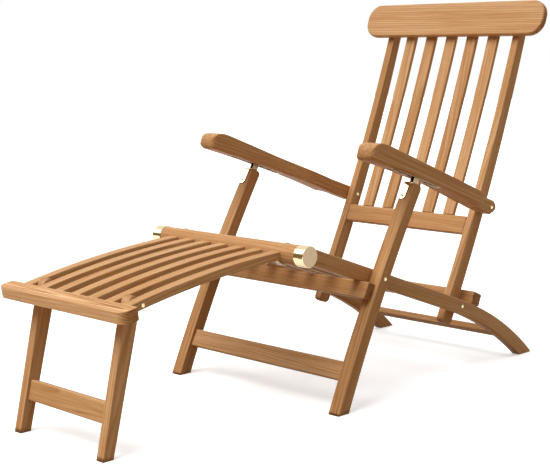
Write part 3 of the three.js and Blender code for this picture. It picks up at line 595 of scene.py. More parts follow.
def buildRails():
    size = {"long": 970.0, "soft": 2.2, "cuts": 46, "deepCuts": 5}
    looks = {"left": (0.50, (18.0, 62.0)), "right": (0.42, (-20.0, -58.0))}
    for hand, side in sides:
        middle = side * (rail["inner"] + rail["thick"] / 2)
        mesh = straightBoard(rail["thick"], rail["depth"], size["long"], size["soft"], size["cuts"],
                             deepCuts=size["deepCuts"])
        markGrain(mesh, "rail" + hand, *looks[hand])

        def place(a, b, c):
            return (middle + a, *railPlace(0.5 - c / size["long"], 0.5 + b / rail["depth"]))
        finishTeak(bend(mesh, place), "rail_" + hand, "seat_frame")


def buildBar():
    size = {"soft": 0.6, "stations": 24, "tone": 0.48, "pith": (14.0, 9.0),
            "capSoft": 0.3, "capRound": 1.6, "capRing": 6.0, "capSteps": 72}
    neck = bar["capRadius"] - bar["capWall"] - seam
    shoulder = bar["end"] - bar["capLength"] - seam
    face = bar["end"] - bar["capWall"] - seam
    reach = shoulder - size["soft"]
    inset = bar["radius"] - size["soft"]
    points = [(-face, 0), (-face, neck), (-shoulder, neck), (-shoulder, inset)]
    for step in range(size["stations"] + 1):
        points.append((-reach + 2 * reach * step / size["stations"], bar["radius"]))
    points += [(shoulder, inset), (shoulder, neck), (face, neck), (face, 0)]
    mesh = spinAcross(points, 0, 0)
    markGrain(mesh, "bar", size["tone"], size["pith"], alongAxis=0)
    edgeLayer = mesh.faces.layers.float["edge"]
    for item in mesh.faces:
        item[edgeLayer] = 0.0
    bmesh.ops.translate(mesh, vec=(0, bar["y"], bar["z"]), verts=mesh.verts)
    finishTeak(mesh, "round_bar", "seat_frame", sharpDeg=40)

    inside = bar["capRadius"] - bar["capWall"]
    start = bar["end"] - bar["capLength"]
    points = [(bar["end"] - bar["capWall"], 0), (bar["end"] - bar["capWall"], inside), (start, inside),
              (start, bar["capRadius"] - size["capSoft"]), (start + size["capSoft"], bar["capRadius"])]
    turn = size["capRound"]
    points += arcPoints(bar["end"] - turn, bar["capRadius"] - turn, turn, 90, 0)
    points += [(bar["end"], size["capRing"]), (bar["end"], 0)]
    for hand, side in sides:
        mesh = spinAcross([(side * x, radius) for x, radius in points], bar["y"], bar["z"], size["capSteps"])
        # Their flat ends take the dull colour: a brushed finish that also paints in a dimmer reflection than
        # the polished sides give
        markBrass(mesh, "matteAndShade", lambda face: abs(face.normal.x) > 0.9)
        finishBrass(mesh, "bar_cap_" + hand, "seat_frame", sharpDeg=30)


def buildSeat():
    slat = {"count": 6, "pitch": 67, "width": 34, "thick": 12, "soft": 1.8, "cuts": 12,
            "frontY": -240, "rearY": 275, "tones": (0.40, 0.62, 0.35, 0.55, 0.46, 0.60)}
    cross = {"width": 26, "thick": 9, "inset": 14, "frontY": -220, "rearY": 186}
    middleY = (slat["frontY"] + slat["rearY"]) / 2
    long = (slat["rearY"] - slat["frontY"]) / railCos
    low = cross["inset"] + cross["thick"] + seam
    base = turned((middleY, railLow(middleY)), rail["pitchDeg"])
    buildSlats(slat, long, "seatSlat", "seat_slat", "seat_frame",
               lambda x, b, c, thick: base(x, -c, low + thick / 2 + b))
    for name, y in (("seat_rail_front", cross["frontY"]), ("seat_rail_rear", cross["rearY"])):
        mesh = crossBoard(name, rail["inner"] - seam, cross["width"], cross["thick"], 0,
                          cross["inset"] + cross["thick"] / 2, turned((y, railLow(y)), rail["pitchDeg"]))
        finishTeak(mesh, name, "seat_frame")


# Height of the rail's curved top, found by halving
def railTopAt(y):
    low, high = 0.0, 1.0
    for turn in range(40):
        middle = (low + high) / 2
        low, high = (middle, high) if railTopEdge(middle)[0] < y else (low, middle)
    return railTopEdge(low)[1]


def buildRearBars():
    size = {"width": 36, "height": 33, "y": 358, "soft": 3.0, "tone": 0.40}
    rise = railTopAt(size["y"] - size["width"] / 2) - railTopAt(size["y"] + size["width"] / 2)
    place = turned((size["y"], railTopAt(size["y"]) + seam), math.degrees(math.atan2(rise, size["width"])))
    mesh = crossBoard("rearCrossbar", rail["inner"] + rail["thick"], size["width"], size["height"],
                      0, size["height"] / 2, place, size["soft"], size["tone"])
    finishTeak(mesh, "rear_crossbar", "seat_frame")
    low = {"y": 497, "z": 72, "width": 24, "height": 18, "tiltDeg": 38, "soft": 2.5, "tone": 0.45}
    mesh = crossBoard("rearStretcher", rail["inner"] - seam, low["width"], low["height"], 0, 0,
                      turned((low["y"], low["z"]), low["tiltDeg"]), low["soft"], low["tone"])
    finishTeak(mesh, "rear_stretcher", "seat_frame")


# Bolts, with a domed head on a washer at each end
boltHead = {"radius": 3.7, "height": 1.8, "washer": 5.3, "washerThick": 0.9, "soft": 0.3, "stem": 4,
            "domeSteps": 8, "steps": 40}


def buildBolt(node, body, side, inner, outer, y, z):
    radius, washer, thick, soft = [boltHead[key] for key in ("radius", "washer", "washerThick", "soft")]

    def head(x, way):
        points = [(0, boltHead["stem"]), (0, washer - soft), (soft, washer), (thick - soft, washer),
                  (thick, washer - soft), (thick, radius)]
        for step in range(1, boltHead["domeSteps"]):
            angle = math.radians(90 * step / boltHead["domeSteps"])
            points.append((thick + boltHead["height"] * math.sin(angle), radius * math.cos(angle)))
        points.append((thick + boltHead["height"], 0.0))
        return [(x + way * out, size) for out, size in points]
    start, end = sorted((side * inner, side * outer))
    points = list(reversed(head(start - seam, -1))) + head(end + seam, 1)
    mesh = spinAcross(points, y, z, boltHead["steps"])

    def onWasher(face):
        middle = face.calc_center_median()
        return math.hypot(middle.y - y, middle.z - z) > radius * 0.99
    # Washers take the dull colour, and their rims are painted near black as shade
    markBrass(mesh, "matteAndShade", onWasher)
    markBrass(mesh, "paintedShade", lambda face: onWasher(face) and abs(face.normal.x) < 0.5)
    finishBrass(mesh, node, body, sharpDeg=35)


# Front legs

legPlace = turned(leg["pivot"], leg["tiltDeg"])


def legCurve(along):
    half = (leg["above"] + leg["below"]) / 2
    return leg["bow"] * ((along - leg["above"] + half) / half) ** 2


def legHalf(along):
    share = (along + leg["below"]) / (leg["above"] + leg["below"])
    return leg["footHalf"] + (leg["topHalf"] - leg["footHalf"]) * share


def legFront(along):
    return legCurve(along) - legHalf(along)


def buildLegs():
    size = {"spare": 30, "soft": 2.2, "cuts": 22}
    looks = {"left": (0.30, (16.0, 40.0)), "right": (0.32, (-22.0, 46.0))}
    low = leg["below"] + size["spare"]
    long = leg["above"] + low
    for hand, side in sides:
        middle = side * (leg["inner"] + leg["thick"] / 2)
        mesh = straightBoard(leg["thick"], 2 * leg["footHalf"], long, size["soft"], size["cuts"],
                             topRound=leg["topRound"])
        markGrain(mesh, "leg" + hand, *looks[hand])

        def place(a, b, c):
            along = c + long / 2 - low
            return legPlace(middle + a, legCurve(along) + b * legHalf(along) / leg["footHalf"], along)
        cutFloor(bend(mesh, place))
        finishTeak(mesh, "front_leg_" + hand, "leg_frame")
        buildBolt("leg_bolt_" + hand, "leg_frame", side, rail["inner"], leg["inner"] + leg["thick"],
                  *leg["pivot"])
        buildHook(hand, side)


def buildLegBoards():
    size = {"thick": 25, "height": 41, "legLap": 24, "soft": 2.4, "cuts": 10,
            "tone": 0.34, "pith": (30.0, 48.0)}
    lean = math.radians(leg["tiltDeg"] - rail["pitchDeg"])
    drop = (leg["pivot"][1] - railLow(leg["pivot"][0])) * railCos
    below = drop / math.cos(lean) + seam
    rear = min(legFront(-below), legFront(-below - size["height"])) - seam
    mesh = straightBoard(size["thick"], size["height"], 2 * (leg["inner"] + size["legLap"]),
                         size["soft"], size["cuts"])
    markGrain(mesh, "seatBoard", size["tone"], size["pith"])

    def place(a, b, c):
        offset = rear - size["thick"] / 2 + a
        return legPlace(c, offset, -below + math.tan(lean) * offset - size["height"] / 2 + b)
    finishTeak(bend(mesh, place), "seat_support_board", "leg_frame")
    low = {"thick": 22, "height": 45, "along": -236, "soft": 3.0, "tone": 0.50, "pith": (20.0, 52.0)}
    mesh = crossBoard("frontStretcher", leg["inner"] - seam, low["thick"], low["height"],
                      legCurve(low["along"]), low["along"], legPlace, low["soft"], low["tone"], low["pith"])
    finishTeak(mesh, "front_stretcher", "leg_frame")


# Brass hooks on the legs: a leaf bent over the leg's top, the tongue that stands on it and a screw
hook = {"width": 19, "shift": -6.5, "thick": 2.4, "leaf": 47, "step": 3.2, "soft": 0.5,
        "tongueThick": 9, "tongueRadius": 10.5, "tongueRise": 21, "tongueSoft": 0.8, "sunk": 1.0, "stem": 10}
screw = {"radius": 3.0, "rise": 1.6, "root": 1.2, "slotHalf": 0.45, "slotDeep": 0.9, "steps": 28,
         "turnDeg": {"left": 20, "right": 65}}


# Slotted screw head on a flat face: axes are across the slot, along it and outward
def screwHead():
    mesh = bmesh.new()
    bmesh.ops.create_circle(mesh, cap_ends=True, radius=screw["radius"], segments=screw["steps"])
    for line in (-screw["slotHalf"], screw["slotHalf"]):
        cutPlane(mesh, (line, 0, 0), (1, 0, 0))
    slot = [face for face in mesh.faces if abs(face.calc_center_median().x) < screw["slotHalf"]]
    rim = [edge for edge in mesh.edges if edge.is_boundary]
    skirt = only(bmesh.ops.extrude_edge_only(mesh, edges=rim)["geom"], bmesh.types.BMVert)
    bmesh.ops.translate(mesh, vec=(0, 0, -screw["rise"] - screw["root"]), verts=skirt)
    bmesh.ops.contextual_create(mesh, geom=[edge for edge in mesh.edges if edge.is_boundary])
    sunk = extrudeFaces(mesh, slot)
    bmesh.ops.delete(mesh, geom=slot, context="FACES_ONLY")
    bmesh.ops.translate(mesh, vec=(0, 0, -screw["slotDeep"]), verts=sunk)
    faceOut(mesh)
    return mesh


def mergeInto(target, other, place):
    bend(other, place)
    data = bpy.data.meshes.new("part")
    other.to_mesh(data)
    other.free()
    target.from_mesh(data)
    bpy.data.meshes.remove(data)


def buildHook(hand, side):
    legCentre = side * (leg["inner"] + leg["thick"] / 2)
    centre = legCentre + hook["shift"]
    high = leg["above"] - leg["topRound"]
    arc = math.pi / 2 * leg["topRound"]
    frontRun = hook["leaf"] - leg["topRound"]
    face = legFront(high) - seam
    total = frontRun + arc + 2 * leg["topHalf"] - 2 * leg["topRound"]
    mesh = flatPlate(stripOutline(hook["width"] / 2 - seam, total, True, False), hook["thick"], hook["step"])
    softenEdges(mesh, hook["soft"])

    def place(a, b, c):
        if c <= frontRun:
            along = high - frontRun + c
            return legPlace(centre + a, legFront(along) - seam - b, along)
        if c <= frontRun + arc:
            angle = (c - frontRun) / leg["topRound"]
            radius = leg["topRound"] + b
            return legPlace(centre + a, face + leg["topRound"] - radius * math.cos(angle),
                            high + seam + radius * math.sin(angle))
        return legPlace(centre + a, face + leg["topRound"] + (c - frontRun - arc), leg["above"] + seam + b)
    bend(mesh, place)

    middle = legCurve(leg["above"])
    base = leg["above"] + seam + hook["sunk"]
    outline = [(middle - hook["stem"], base), (middle + hook["stem"], base)]
    outline += arcPoints(middle, leg["above"] + hook["tongueRise"], hook["tongueRadius"], 0, 180, steps=14)
    tongue = flatPlate(outline, hook["tongueThick"])
    softenEdges(tongue, hook["tongueSoft"])
    faceOut(tongue)
    # The tongue takes the dull colour, and its front faces are painted near black: shade under the arm and a
    # dark reflection
    markBrass(tongue, "matteAndShade", lambda face: True)
    markBrass(tongue, "paintedShade", lambda face: face.normal.x < -0.3)
    mergeInto(mesh, tongue, lambda a, b, c: legPlace(legCentre - hook["tongueThick"] / 2 + b, a, c))

    spot = high - frontRun + hook["width"] / 2
    turnBy = math.radians(screw["turnDeg"][hand])
    sine, cosine = math.sin(turnBy), math.cos(turnBy)
    outFace = legFront(spot) - seam - hook["thick"] - screw["rise"]
    head = screwHead()
    # The head's top takes the dull colour; its rim and the slot are painted near black as shade
    markBrass(head, "matteAndShade", lambda face: face.calc_center_median().z > -0.1)
    markBrass(head, "paintedShade", lambda face: face.calc_center_median().z < -0.1)
    mergeInto(mesh, head, lambda a, b, c: legPlace(
        centre + a * cosine - b * sine, outFace - c, spot + a * sine + b * cosine))
    finishBrass(mesh, "leg_hook_" + hand, "leg_frame", sharpDeg=35)


# Back

backPlace = turned(back["pivot"], back["tiltDeg"])


def backCurve(along):
    share = along / back["chord"]
    return 4 * back["bow"] * share * (1 - share)


def stileHalf(along):
    share = min(max(along / back["chord"], 0.0), 1.0)
    return back["lowHalf"] + (back["highHalf"] - back["lowHalf"]) * share


def backFront(along):
    return backCurve(along) - stileHalf(along)


def buildStiles():
    size = {"soft": 2.2, "cuts": 30, "topRound": 5, "lowRound": 12, "tones": {"left": 0.58, "right": 0.45}}
    long = back["above"] + back["below"]
    for hand, side in sides:
        middle = side * (back["inner"] + back["thick"] / 2)
        mesh = straightBoard(back["thick"], 2 * back["lowHalf"], long, size["soft"], size["cuts"],
                             topRound=size["topRound"], lowRound=size["lowRound"])
        markGrain(mesh, "stile" + hand, size["tones"][hand])

        def place(a, b, c):
            along = c + long / 2 - back["below"]
            return backPlace(middle + a, backCurve(along) + b * stileHalf(along) / back["lowHalf"], along)
        finishTeak(bend(mesh, place), "back_stile_" + hand, "back")


def buildBackSlats():
    slat = {"count": 5, "pitch": 71, "width": 34, "thick": 11, "soft": 1.8, "cuts": 22,
            "tones": (0.62, 0.50, 0.78, 0.42, 0.70)}
    low = mid["low"] + mid["height"] + seam
    run = back["above"] - low

    def place(x, b, c, thick):
        along = c + run / 2 + low
        return backPlace(x, backFront(along) + thick / 2 + b, along)
    buildSlats(slat, run, "backSlat", "back_slat", "back", place)
    middle = mid["low"] + mid["height"] / 2
    mesh = crossBoard("midRail", back["inner"] - seam, mid["thick"], mid["height"],
                      backFront(middle) + mid["thick"] / 2, middle, backPlace, mid["soft"], mid["tone"])
    finishTeak(mesh, "back_mid_rail", "back")


def buildHeadrest():
    size = {"low": 746.5, "height": 96, "thick": 20, "reach": 305, "corner": 42, "soft": 5,
            "cuts": 9, "cutPitch": 60, "tone": 0.72, "pith": (-70.0, 120.0)}
    reach, height = size["reach"] - size["corner"], size["height"] / 2 - size["corner"]
    points = []
    for start, xWay, zWay in ((0, 1, 1), (90, -1, 1), (180, -1, -1), (270, 1, -1)):
        points += arcPoints(xWay * reach, zWay * height, size["corner"], start, start + 90, steps=12)
    mesh = flatPlate(points, size["thick"])
    softenEdges(mesh, size["soft"], segments=4)
    for step in range(size["cuts"]):
        cutPlane(mesh, ((step - (size["cuts"] - 1) / 2) * size["cutPitch"], 0, 0), (1, 0, 0))
    markGrain(mesh, "headrest", size["tone"], size["pith"], alongAxis=0)
    lean = math.atan((backFront(size["low"]) - backFront(back["above"])) / (back["above"] - size["low"]))
    middle = size["low"] + size["height"] / 2
    sine, cosine = math.sin(lean), math.cos(lean)

    def place(a, b, c):
        depth = b - size["thick"] - seam
        return backPlace(a, backFront(middle) + depth * cosine - c * sine, middle + depth * sine + c * cosine)
    finishTeak(bend(mesh, place), "headrest", "back")


def buildBackBolts():
    for hand, side in sides:
        buildBolt("back_bolt_" + hand, "back_pivot", side, back["inner"], rail["inner"] + rail["thick"],
                  *back["pivot"])


# Arms: places run forward from the bolt, and each edge seen from the side is two curves
arm = {"tiltDeg": 19, "pivotRise": 275, "pinHalf": 19, "length": 553, "noseRound": 12,
       "top": ((90, 19), (250, 26), (500, 33), (548, 33), (553, 5)),
       "low": ((60, -19), (300, -4), (538, -16), (553, -16), (553, 5)),
       "tongueInner": 228.5, "tongueOuter": 261, "stepFrom": 62, "stepTo": 92, "inner": 247, "outer": 300,
       "bendFrom": 120, "bendTo": 330, "soft": 3.4, "easeFrom": 15.0, "ease": 4.2, "endGrain": 0.3,
       "looks": {"left": (0.50, (-230.0, -52.0)), "right": (0.52, (-300.0, 46.0))}}
track = {"from": 258, "length": 199, "width": 20, "thick": 2.6, "face": -11.4, "slot": 11.5, "slotEnd": 9,
         "grooveTop": 7, "notch": 4, "notchOut": 0.2, "notchShares": (0.24, 0.41, 0.58, 0.75),
         "bedMargin": 20, "soft": 0.35, "darkFrom": 0.4}
trackCentre = leg["inner"] + leg["thick"] / 2


def armHeight(forward, points, way):
    if forward < 0:
        return way * math.sqrt(max(arm["pinHalf"] ** 2 - forward ** 2, 0.0))
    return curvesAt(points, forward)


def armInner(forward):
    if forward < arm["bendTo"]:
        part = max(forward - arm["bendFrom"], 0.0) / (arm["bendTo"] - arm["bendFrom"])
        return arm["tongueInner"] + (arm["inner"] - arm["tongueInner"]) * part * part * (3 - 2 * part)
    return arm["inner"] + cornerInset(forward, arm["length"], arm["noseRound"])


def armOuter(forward):
    if forward < arm["stepFrom"]:
        return arm["tongueOuter"]
    if forward < arm["stepTo"]:
        return curveAt((arm["stepFrom"], arm["tongueOuter"]), (arm["stepTo"], arm["tongueOuter"]),
                       (arm["stepTo"], arm["outer"]), forward)
    return arm["outer"] - cornerInset(forward, arm["length"], arm["noseRound"])


# The stations stand close together at the rounded ends and at the outer step
def armMesh():
    blank = {"across": 50.0, "deep": 44.0}
    stations = [-18.6, -17.5, -15.5, -12.5, -9, -4.5, 0, 15, 30, 45, 60, 68, 75, 81, 86, 89.5, 91.6]
    stations += [arm["stepTo"] + 12.0 * step for step in range(34)]
    stations += [504, 510, 516, 522, 528, 533, 538, 541, 544, 546.5, 548.8, 550.4, 551.6, 552.4]
    mesh, station = stationBoard(blank["across"], blank["deep"], arm["soft"], stations,
                                 spread=0.1, segments=3)
    cutPlane(mesh, (arm["easeFrom"], 0, 0), (1, 0, 0))
    easeRun = blank["across"] / 2 - arm["soft"] - arm["easeFrom"]

    def place(a, b, c):
        forward = station(c)
        inner, outer = armInner(forward), armOuter(forward)
        bottom, top = armHeight(forward, arm["low"], -1), armHeight(forward, arm["top"], 1)
        bottom += arm["ease"] * min(max((a - arm["easeFrom"]) / easeRun, 0.0), 1.0)
        return (inner + (outer - inner) * (0.5 + a / blank["across"]),
                bottom + (top - bottom) * (0.5 + b / blank["deep"]), forward)
    bend(mesh, place)
    faceOut(mesh)
    return mesh


# Bed for the track and the groove above it, sunk into the underside
def sinkTrack(mesh):
    ends = (track["from"] - seam, track["from"] + track["length"] + seam)
    slotEnds = (track["from"] + track["slotEnd"], track["from"] + track["length"] - track["slotEnd"])
    half = track["width"] / 2 + seam
    slotHalf = track["slot"] / 2

    def under(low, high, reach):
        faces = [face for face in mesh.faces if face.normal.y < -0.9]
        middles = [face.calc_center_median() for face in faces]
        return [face for face, middle in zip(faces, middles)
                if low < middle.z < high and abs(middle.x - trackCentre) < reach]
    cuts = [((trackCentre + shift, 0, 0), (1, 0, 0)) for shift in (-half, -slotHalf, slotHalf, half)]
    cuts += [((0, 0, place), (0, 0, 1)) for place in (*ends, *slotEnds)]
    for spot, normal in cuts:
        cutPlane(mesh, spot, normal,
                 under(ends[0] - track["bedMargin"], ends[1] + track["bedMargin"], arm["outer"]))
    for reach, limits, top in ((half, ends, track["face"] + track["thick"] + seam),
                               (slotHalf, slotEnds, track["grooveTop"])):
        floor = under(*limits, reach)
        moved = extrudeFaces(mesh, floor)
        bmesh.ops.delete(mesh, geom=floor, context="FACES_ONLY")
        for vertex in moved:
            vertex.co.y = top
        faceOut(mesh)


# Brass plate with a slot that has notches on its inner side
def trackMesh():
    half, slotHalf = track["width"] / 2, track["slot"] / 2
    low, high = track["from"], track["from"] + track["length"]
    slotLow, slotHigh = low + track["slotEnd"] + slotHalf, high - track["slotEnd"] - slotHalf
    outer = [(-half, low), (half, low), (half, high), (-half, high)]
    inner = [(r, slotLow + x) for x, r in arcPoints(0, 0, slotHalf, 90, 270, 10)]
    for share in track["notchShares"]:
        middle = low + share * track["length"]
        for degrees in range(8, 180, 20):
            angle = math.radians(degrees)
            inner.append((-slotHalf - track["notchOut"] - track["notch"] * math.sin(angle),
                          middle - track["notch"] * math.cos(angle)))
    inner += [(r, slotHigh + x) for x, r in arcPoints(0, 0, slotHalf, 270, 450, 10)]
    mesh = bmesh.new()
    for loop in (outer, inner):
        verts = [mesh.verts.new((a, 0, c)) for a, c in loop]
        for pair in zip(verts, verts[1:] + verts[:1]):
            mesh.edges.new(pair)
    bmesh.ops.triangle_fill(mesh, use_beauty=True, edges=mesh.edges[:])
    thicken(mesh, track["thick"])
    softenEdges(mesh, track["soft"], segments=1, overDeg=60)
    # This cut marks where the painted shade on the plate's upper part begins
    cutPlane(mesh, (0, track["thick"] * track["darkFrom"], 0), (0, 1, 0))
    return mesh


def buildArms():
    pivot = backPlace(0, backCurve(arm["pivotRise"]), arm["pivotRise"])[1:]
    armPlace = turned(pivot, arm["tiltDeg"])
    for hand, side in sides:
        mesh = armMesh()
        markGrain(mesh, "arm" + hand, *arm["looks"][hand])
        endLayer = mesh.faces.layers.float["endGrain"]
        for face in mesh.faces:
            face[endLayer] *= arm["endGrain"]
        sinkTrack(mesh)
        bend(mesh, lambda a, b, c: armPlace(side * a, -c, b))
        finishTeak(mesh, "arm_" + hand, "arm_" + hand)
        plate = trackMesh()
        darkFrom = track["thick"] * track["darkFrom"]
        # The track takes the dull colour, and its upper part, against the arm, is painted near black as shade
        markBrass(plate, "matteAndShade", lambda face: True)
        markBrass(plate, "paintedShade", lambda face: face.calc_center_median().y > darkFrom)
        bend(plate, lambda a, b, c: armPlace(side * (trackCentre + a), -c, track["face"] + b))
        finishBrass(plate, "arm_track_" + hand, "arm_" + hand)
        buildBolt("arm_bolt_" + hand, "arm_pivot_" + hand, side, back["inner"], arm["tongueOuter"], *pivot)


# Leg rest: places run forward from the slats' rear ends, and the slats fall and sag as they go
rest = {"count": 7, "pitch": 59, "width": 28, "outerThick": 20, "thick": 17, "soft": 1.8, "cuts": 18,
        "deepCuts": 4, "rearTop": 8, "fall": 21, "sag": 38.5, "length": 442.7, "ringGap": 0.02,
        "tones": (0.62, 0.74, 0.55, 0.80, 0.60, 0.72, 0.50)}
restOuter = rest["pitch"] * (rest["count"] - 1) / 2


def restFall(forward):
    share = forward / rest["length"]
    return rest["fall"] * share + rest["sag"] * share * share


def restAngle(forward):
    return math.atan((rest["fall"] + 2 * rest["sag"] * forward / rest["length"]) / rest["length"])


def restRearAt(height):
    return -math.sqrt((bar["radius"] + seam) ** 2 - height ** 2)


# Place below the slats' top line, from the bar's middle
def restPlace(forward, down):
    angle = restAngle(forward)
    return (restRearAt(rest["rearTop"]) - forward + down * math.sin(angle),
            rest["rearTop"] - restFall(forward) - down * math.cos(angle))


# The slats' rear ends are hollowed to the bar, and the rings next to them keep a little apart
def buildRestSlats():
    def place(x, b, c, thick):
        forward = rest["length"] / 2 - c
        y, z = restPlace(forward, thick / 2 - b)
        nearest = restRearAt(max(min(z, bar["radius"]), -bar["radius"]))
        y = nearest if forward < 0.1 else min(y, nearest - rest["ringGap"] * min(forward, 10))
        return (x, bar["y"] + y, bar["z"] + z)
    buildSlats(rest, rest["length"], "restSlat", "rest_slat", "leg_rest", place)


def buildFootBoard():
    # Its tone of 1.55 lifts the board past the other pieces to a paler, whiter colour: painted sheen on its
    # top and painted light on its front
    size = {"width": 44.3, "thick": 27.7, "reach": 225, "rearY": -737.4, "rearZ": 329.3, "tiltDeg": 9,
            "soft": 2.4, "frontCorner": 24, "rearCorner": 11, "grooveHalf": 1.5, "grooveDeep": 1.2,
            "grooveShares": (0.30, 0.48, 0.66), "tone": 1.55, "pith": (24.0, -9.0)}
    stations = [0, 60, 120, 160, 188, 195, 201, 206, 210, 213.5, 216.5, 219, 221.3, 223, 224.2, 224.8]
    stations = [-place for place in reversed(stations[1:])] + stations
    mesh, station = stationBoard(size["width"], size["thick"], size["soft"], stations,
                                 spread=0.04, segments=4)

    def plan(a, b, c):
        x = station(c)
        front = -size["width"] + cornerInset(abs(x), size["reach"], size["frontCorner"])
        rear = -cornerInset(abs(x), size["reach"], size["rearCorner"])
        return (x, front + (rear - front) * (0.5 + a / size["width"]), -size["thick"] / 2 + b)
    bend(mesh, plan)
    faceOut(mesh)
    markGrain(mesh, "footBoard", size["tone"], size["pith"], alongAxis=0)
    boldLayer = mesh.faces.layers.float.new("bold")
    for face in mesh.faces:
        face[boldLayer] = max(face.normal.z, 0.0) ** 4

    # Each groove is a middle line lowered between two others
    for share in size["grooveShares"]:
        middle = (share - 1) * size["width"]
        for shift in (-size["grooveHalf"], 0.0, size["grooveHalf"]):
            cut = cutPlane(mesh, (0, middle + shift, 0), (0, 1, 0),
                           [face for face in mesh.faces if face.normal.z > 0.95])
            if shift == 0.0:
                lowered = only(cut, bmesh.types.BMVert)
        for vertex in lowered:
            if abs(vertex.co.y - middle) < 0.01:
                vertex.co.z -= size["grooveDeep"]
    angle = math.radians(size["tiltDeg"])
    sine, cosine = math.sin(angle), math.cos(angle)

    def place(x, y, z):
        return (x, size["rearY"] + y * cosine - z * sine, size["rearZ"] + y * sine + z * cosine)
    finishTeak(bend(mesh, place), "rest_front_board", "leg_rest")


def buildBattens():
    size = {"width": 26, "thick": 10, "rearAt": 42, "frontAt": 300, "soft": 1.6, "tone": 0.4}
    reaches = (("rest_batten_rear", size["rearAt"], restOuter - rest["width"] / 2 - seam),
               ("rest_batten_front", size["frontAt"], restOuter - rest["pitch"] + rest["width"] / 2))
    for name, forward, reach in reaches:
        y, z = restPlace(forward, rest["thick"] + seam)
        place = turned((bar["y"] + y, bar["z"] + z), -math.degrees(restAngle(forward)))
        mesh = crossBoard(name, reach, size["width"], size["thick"], 0, -size["thick"] / 2, place,
                          size["soft"], size["tone"])
        finishTeak(mesh, name, "leg_rest")


# Brass strip under each outer slat that runs on below the bar and up behind it
def buildRestHooks():
    size = {"width": 14, "thick": 3, "flat": 40, "fromDeg": 200, "toDeg": 425, "step": 3.6, "soft": 0.5}
    flat, thick = size["flat"], size["thick"]
    inner = bar["radius"] + seam * 2
    arcFrom = math.radians(size["fromDeg"])
    total = flat + (math.radians(size["toDeg"]) - arcFrom) * inner
    topEnd = (-inner - flat, rest["rearTop"] - rest["outerThick"] - 2 * seam - restFall(flat))
    lowEnd = (topEnd[0], topEnd[1] - thick)
    topStart, lowStart = [(radius * math.cos(arcFrom), radius * math.sin(arcFrom))
                          for radius in (inner, inner + thick)]
    for hand, side in sides:
        mesh = flatPlate(stripOutline(size["width"] / 2, total, False, True, steps=6), thick, size["step"])
        softenEdges(mesh, size["soft"])

        def place(a, b, c):
            if c >= flat:
                angle = arcFrom + (c - flat) / inner
                y, z = (inner + b) * math.cos(angle), (inner + b) * math.sin(angle)
            else:
                top, low = between(topEnd, topStart, c / flat), between(lowEnd, lowStart, c / flat)
                y, z = between(top, low, b / thick)
            return (side * restOuter + a, bar["y"] + y, bar["z"] + z)
        bend(mesh, place)
        # The whole strip takes the dull, darker colour, which also stands in for the shade it lies in below
        # the bar
        markBrass(mesh, "matteAndShade", lambda face: True)
        finishBrass(mesh, "rest_hook_" + hand, "leg_rest")


# Folding legs of the leg rest, round at the top, widest at the knee and cut off at the floor
def buildRestLegs():
    size = {"pivot": (-700, 322), "inner": 137.5, "thick": 24, "footY": -778, "topRound": 16, "kneeHalf": 18,
            "kneeAt": 60, "footHalf": 14, "spare": 20, "soft": 2.0, "deep": 30.0,
            "tones": {"left": 0.78, "right": 0.60}}
    pivot = size["pivot"]
    tilt = math.atan2(pivot[0] - size["footY"], pivot[1])
    restLegPlace = turned(pivot, math.degrees(tilt))
    floorAt = -pivot[1] / math.cos(tilt)
    low = floorAt - size["spare"]

    def halfAt(along):
        if along > 0:
            return math.sqrt(max(size["topRound"] ** 2 - along ** 2, 0.0))
        if along > -size["kneeAt"]:
            return curveAt((0.0, size["topRound"]), (size["kneeAt"] / 2, size["kneeHalf"]),
                           (size["kneeAt"], size["kneeHalf"]), -along)
        part = (-along - size["kneeAt"]) / (-floorAt - size["kneeAt"])
        return size["kneeHalf"] + (size["footHalf"] - size["kneeHalf"]) * part
    stations = [low + (-size["kneeAt"] - low) * step / 10 for step in range(10)]
    stations += [-60, -45, -30, -20, -10, 0, 4.5, 8.5, 11.5, 13.6, 15.0, 15.7]
    for hand, side in sides:
        middle = side * (size["inner"] + size["thick"] / 2)
        mesh, station = stationBoard(size["thick"], size["deep"], size["soft"], stations, spread=0.1)

        def place(a, b, c):
            along = station(c)
            return (middle + a, b * halfAt(along) / (size["deep"] / 2), along)
        bend(mesh, place)
        faceOut(mesh)
        markGrain(mesh, "restLeg" + hand, size["tones"][hand])
        cutFloor(bend(mesh, restLegPlace))
        finishTeak(mesh, "rest_leg_" + hand, "leg_rest_legs")
        buildBolt("rest_bolt_" + hand, "leg_rest_legs", side, size["inner"], restOuter + rest["width"] / 2,
                  *pivot)
    cross = {"thick": 20, "height": 46, "atZ": 93, "soft": 3.0, "tone": 0.45}
    mesh = crossBoard("restStretcher", size["inner"] - seam, cross["thick"], cross["height"], 0,
                      (cross["atZ"] - pivot[1]) / math.cos(tilt), restLegPlace, cross["soft"], cross["tone"])
    finishTeak(mesh, "rest_stretcher", "leg_rest_legs")


buildRails()
buildBar()
buildSeat()
buildRearBars()
print("seat frame made")
buildLegs()
buildLegBoards()
print("front legs made")
buildStiles()
buildBackSlats()
buildHeadrest()
buildBackBolts()
buildArms()
print("back and arms made")
buildRestSlats()
buildFootBoard()
buildBattens()
buildRestHooks()
buildRestLegs()
print("leg rest made")


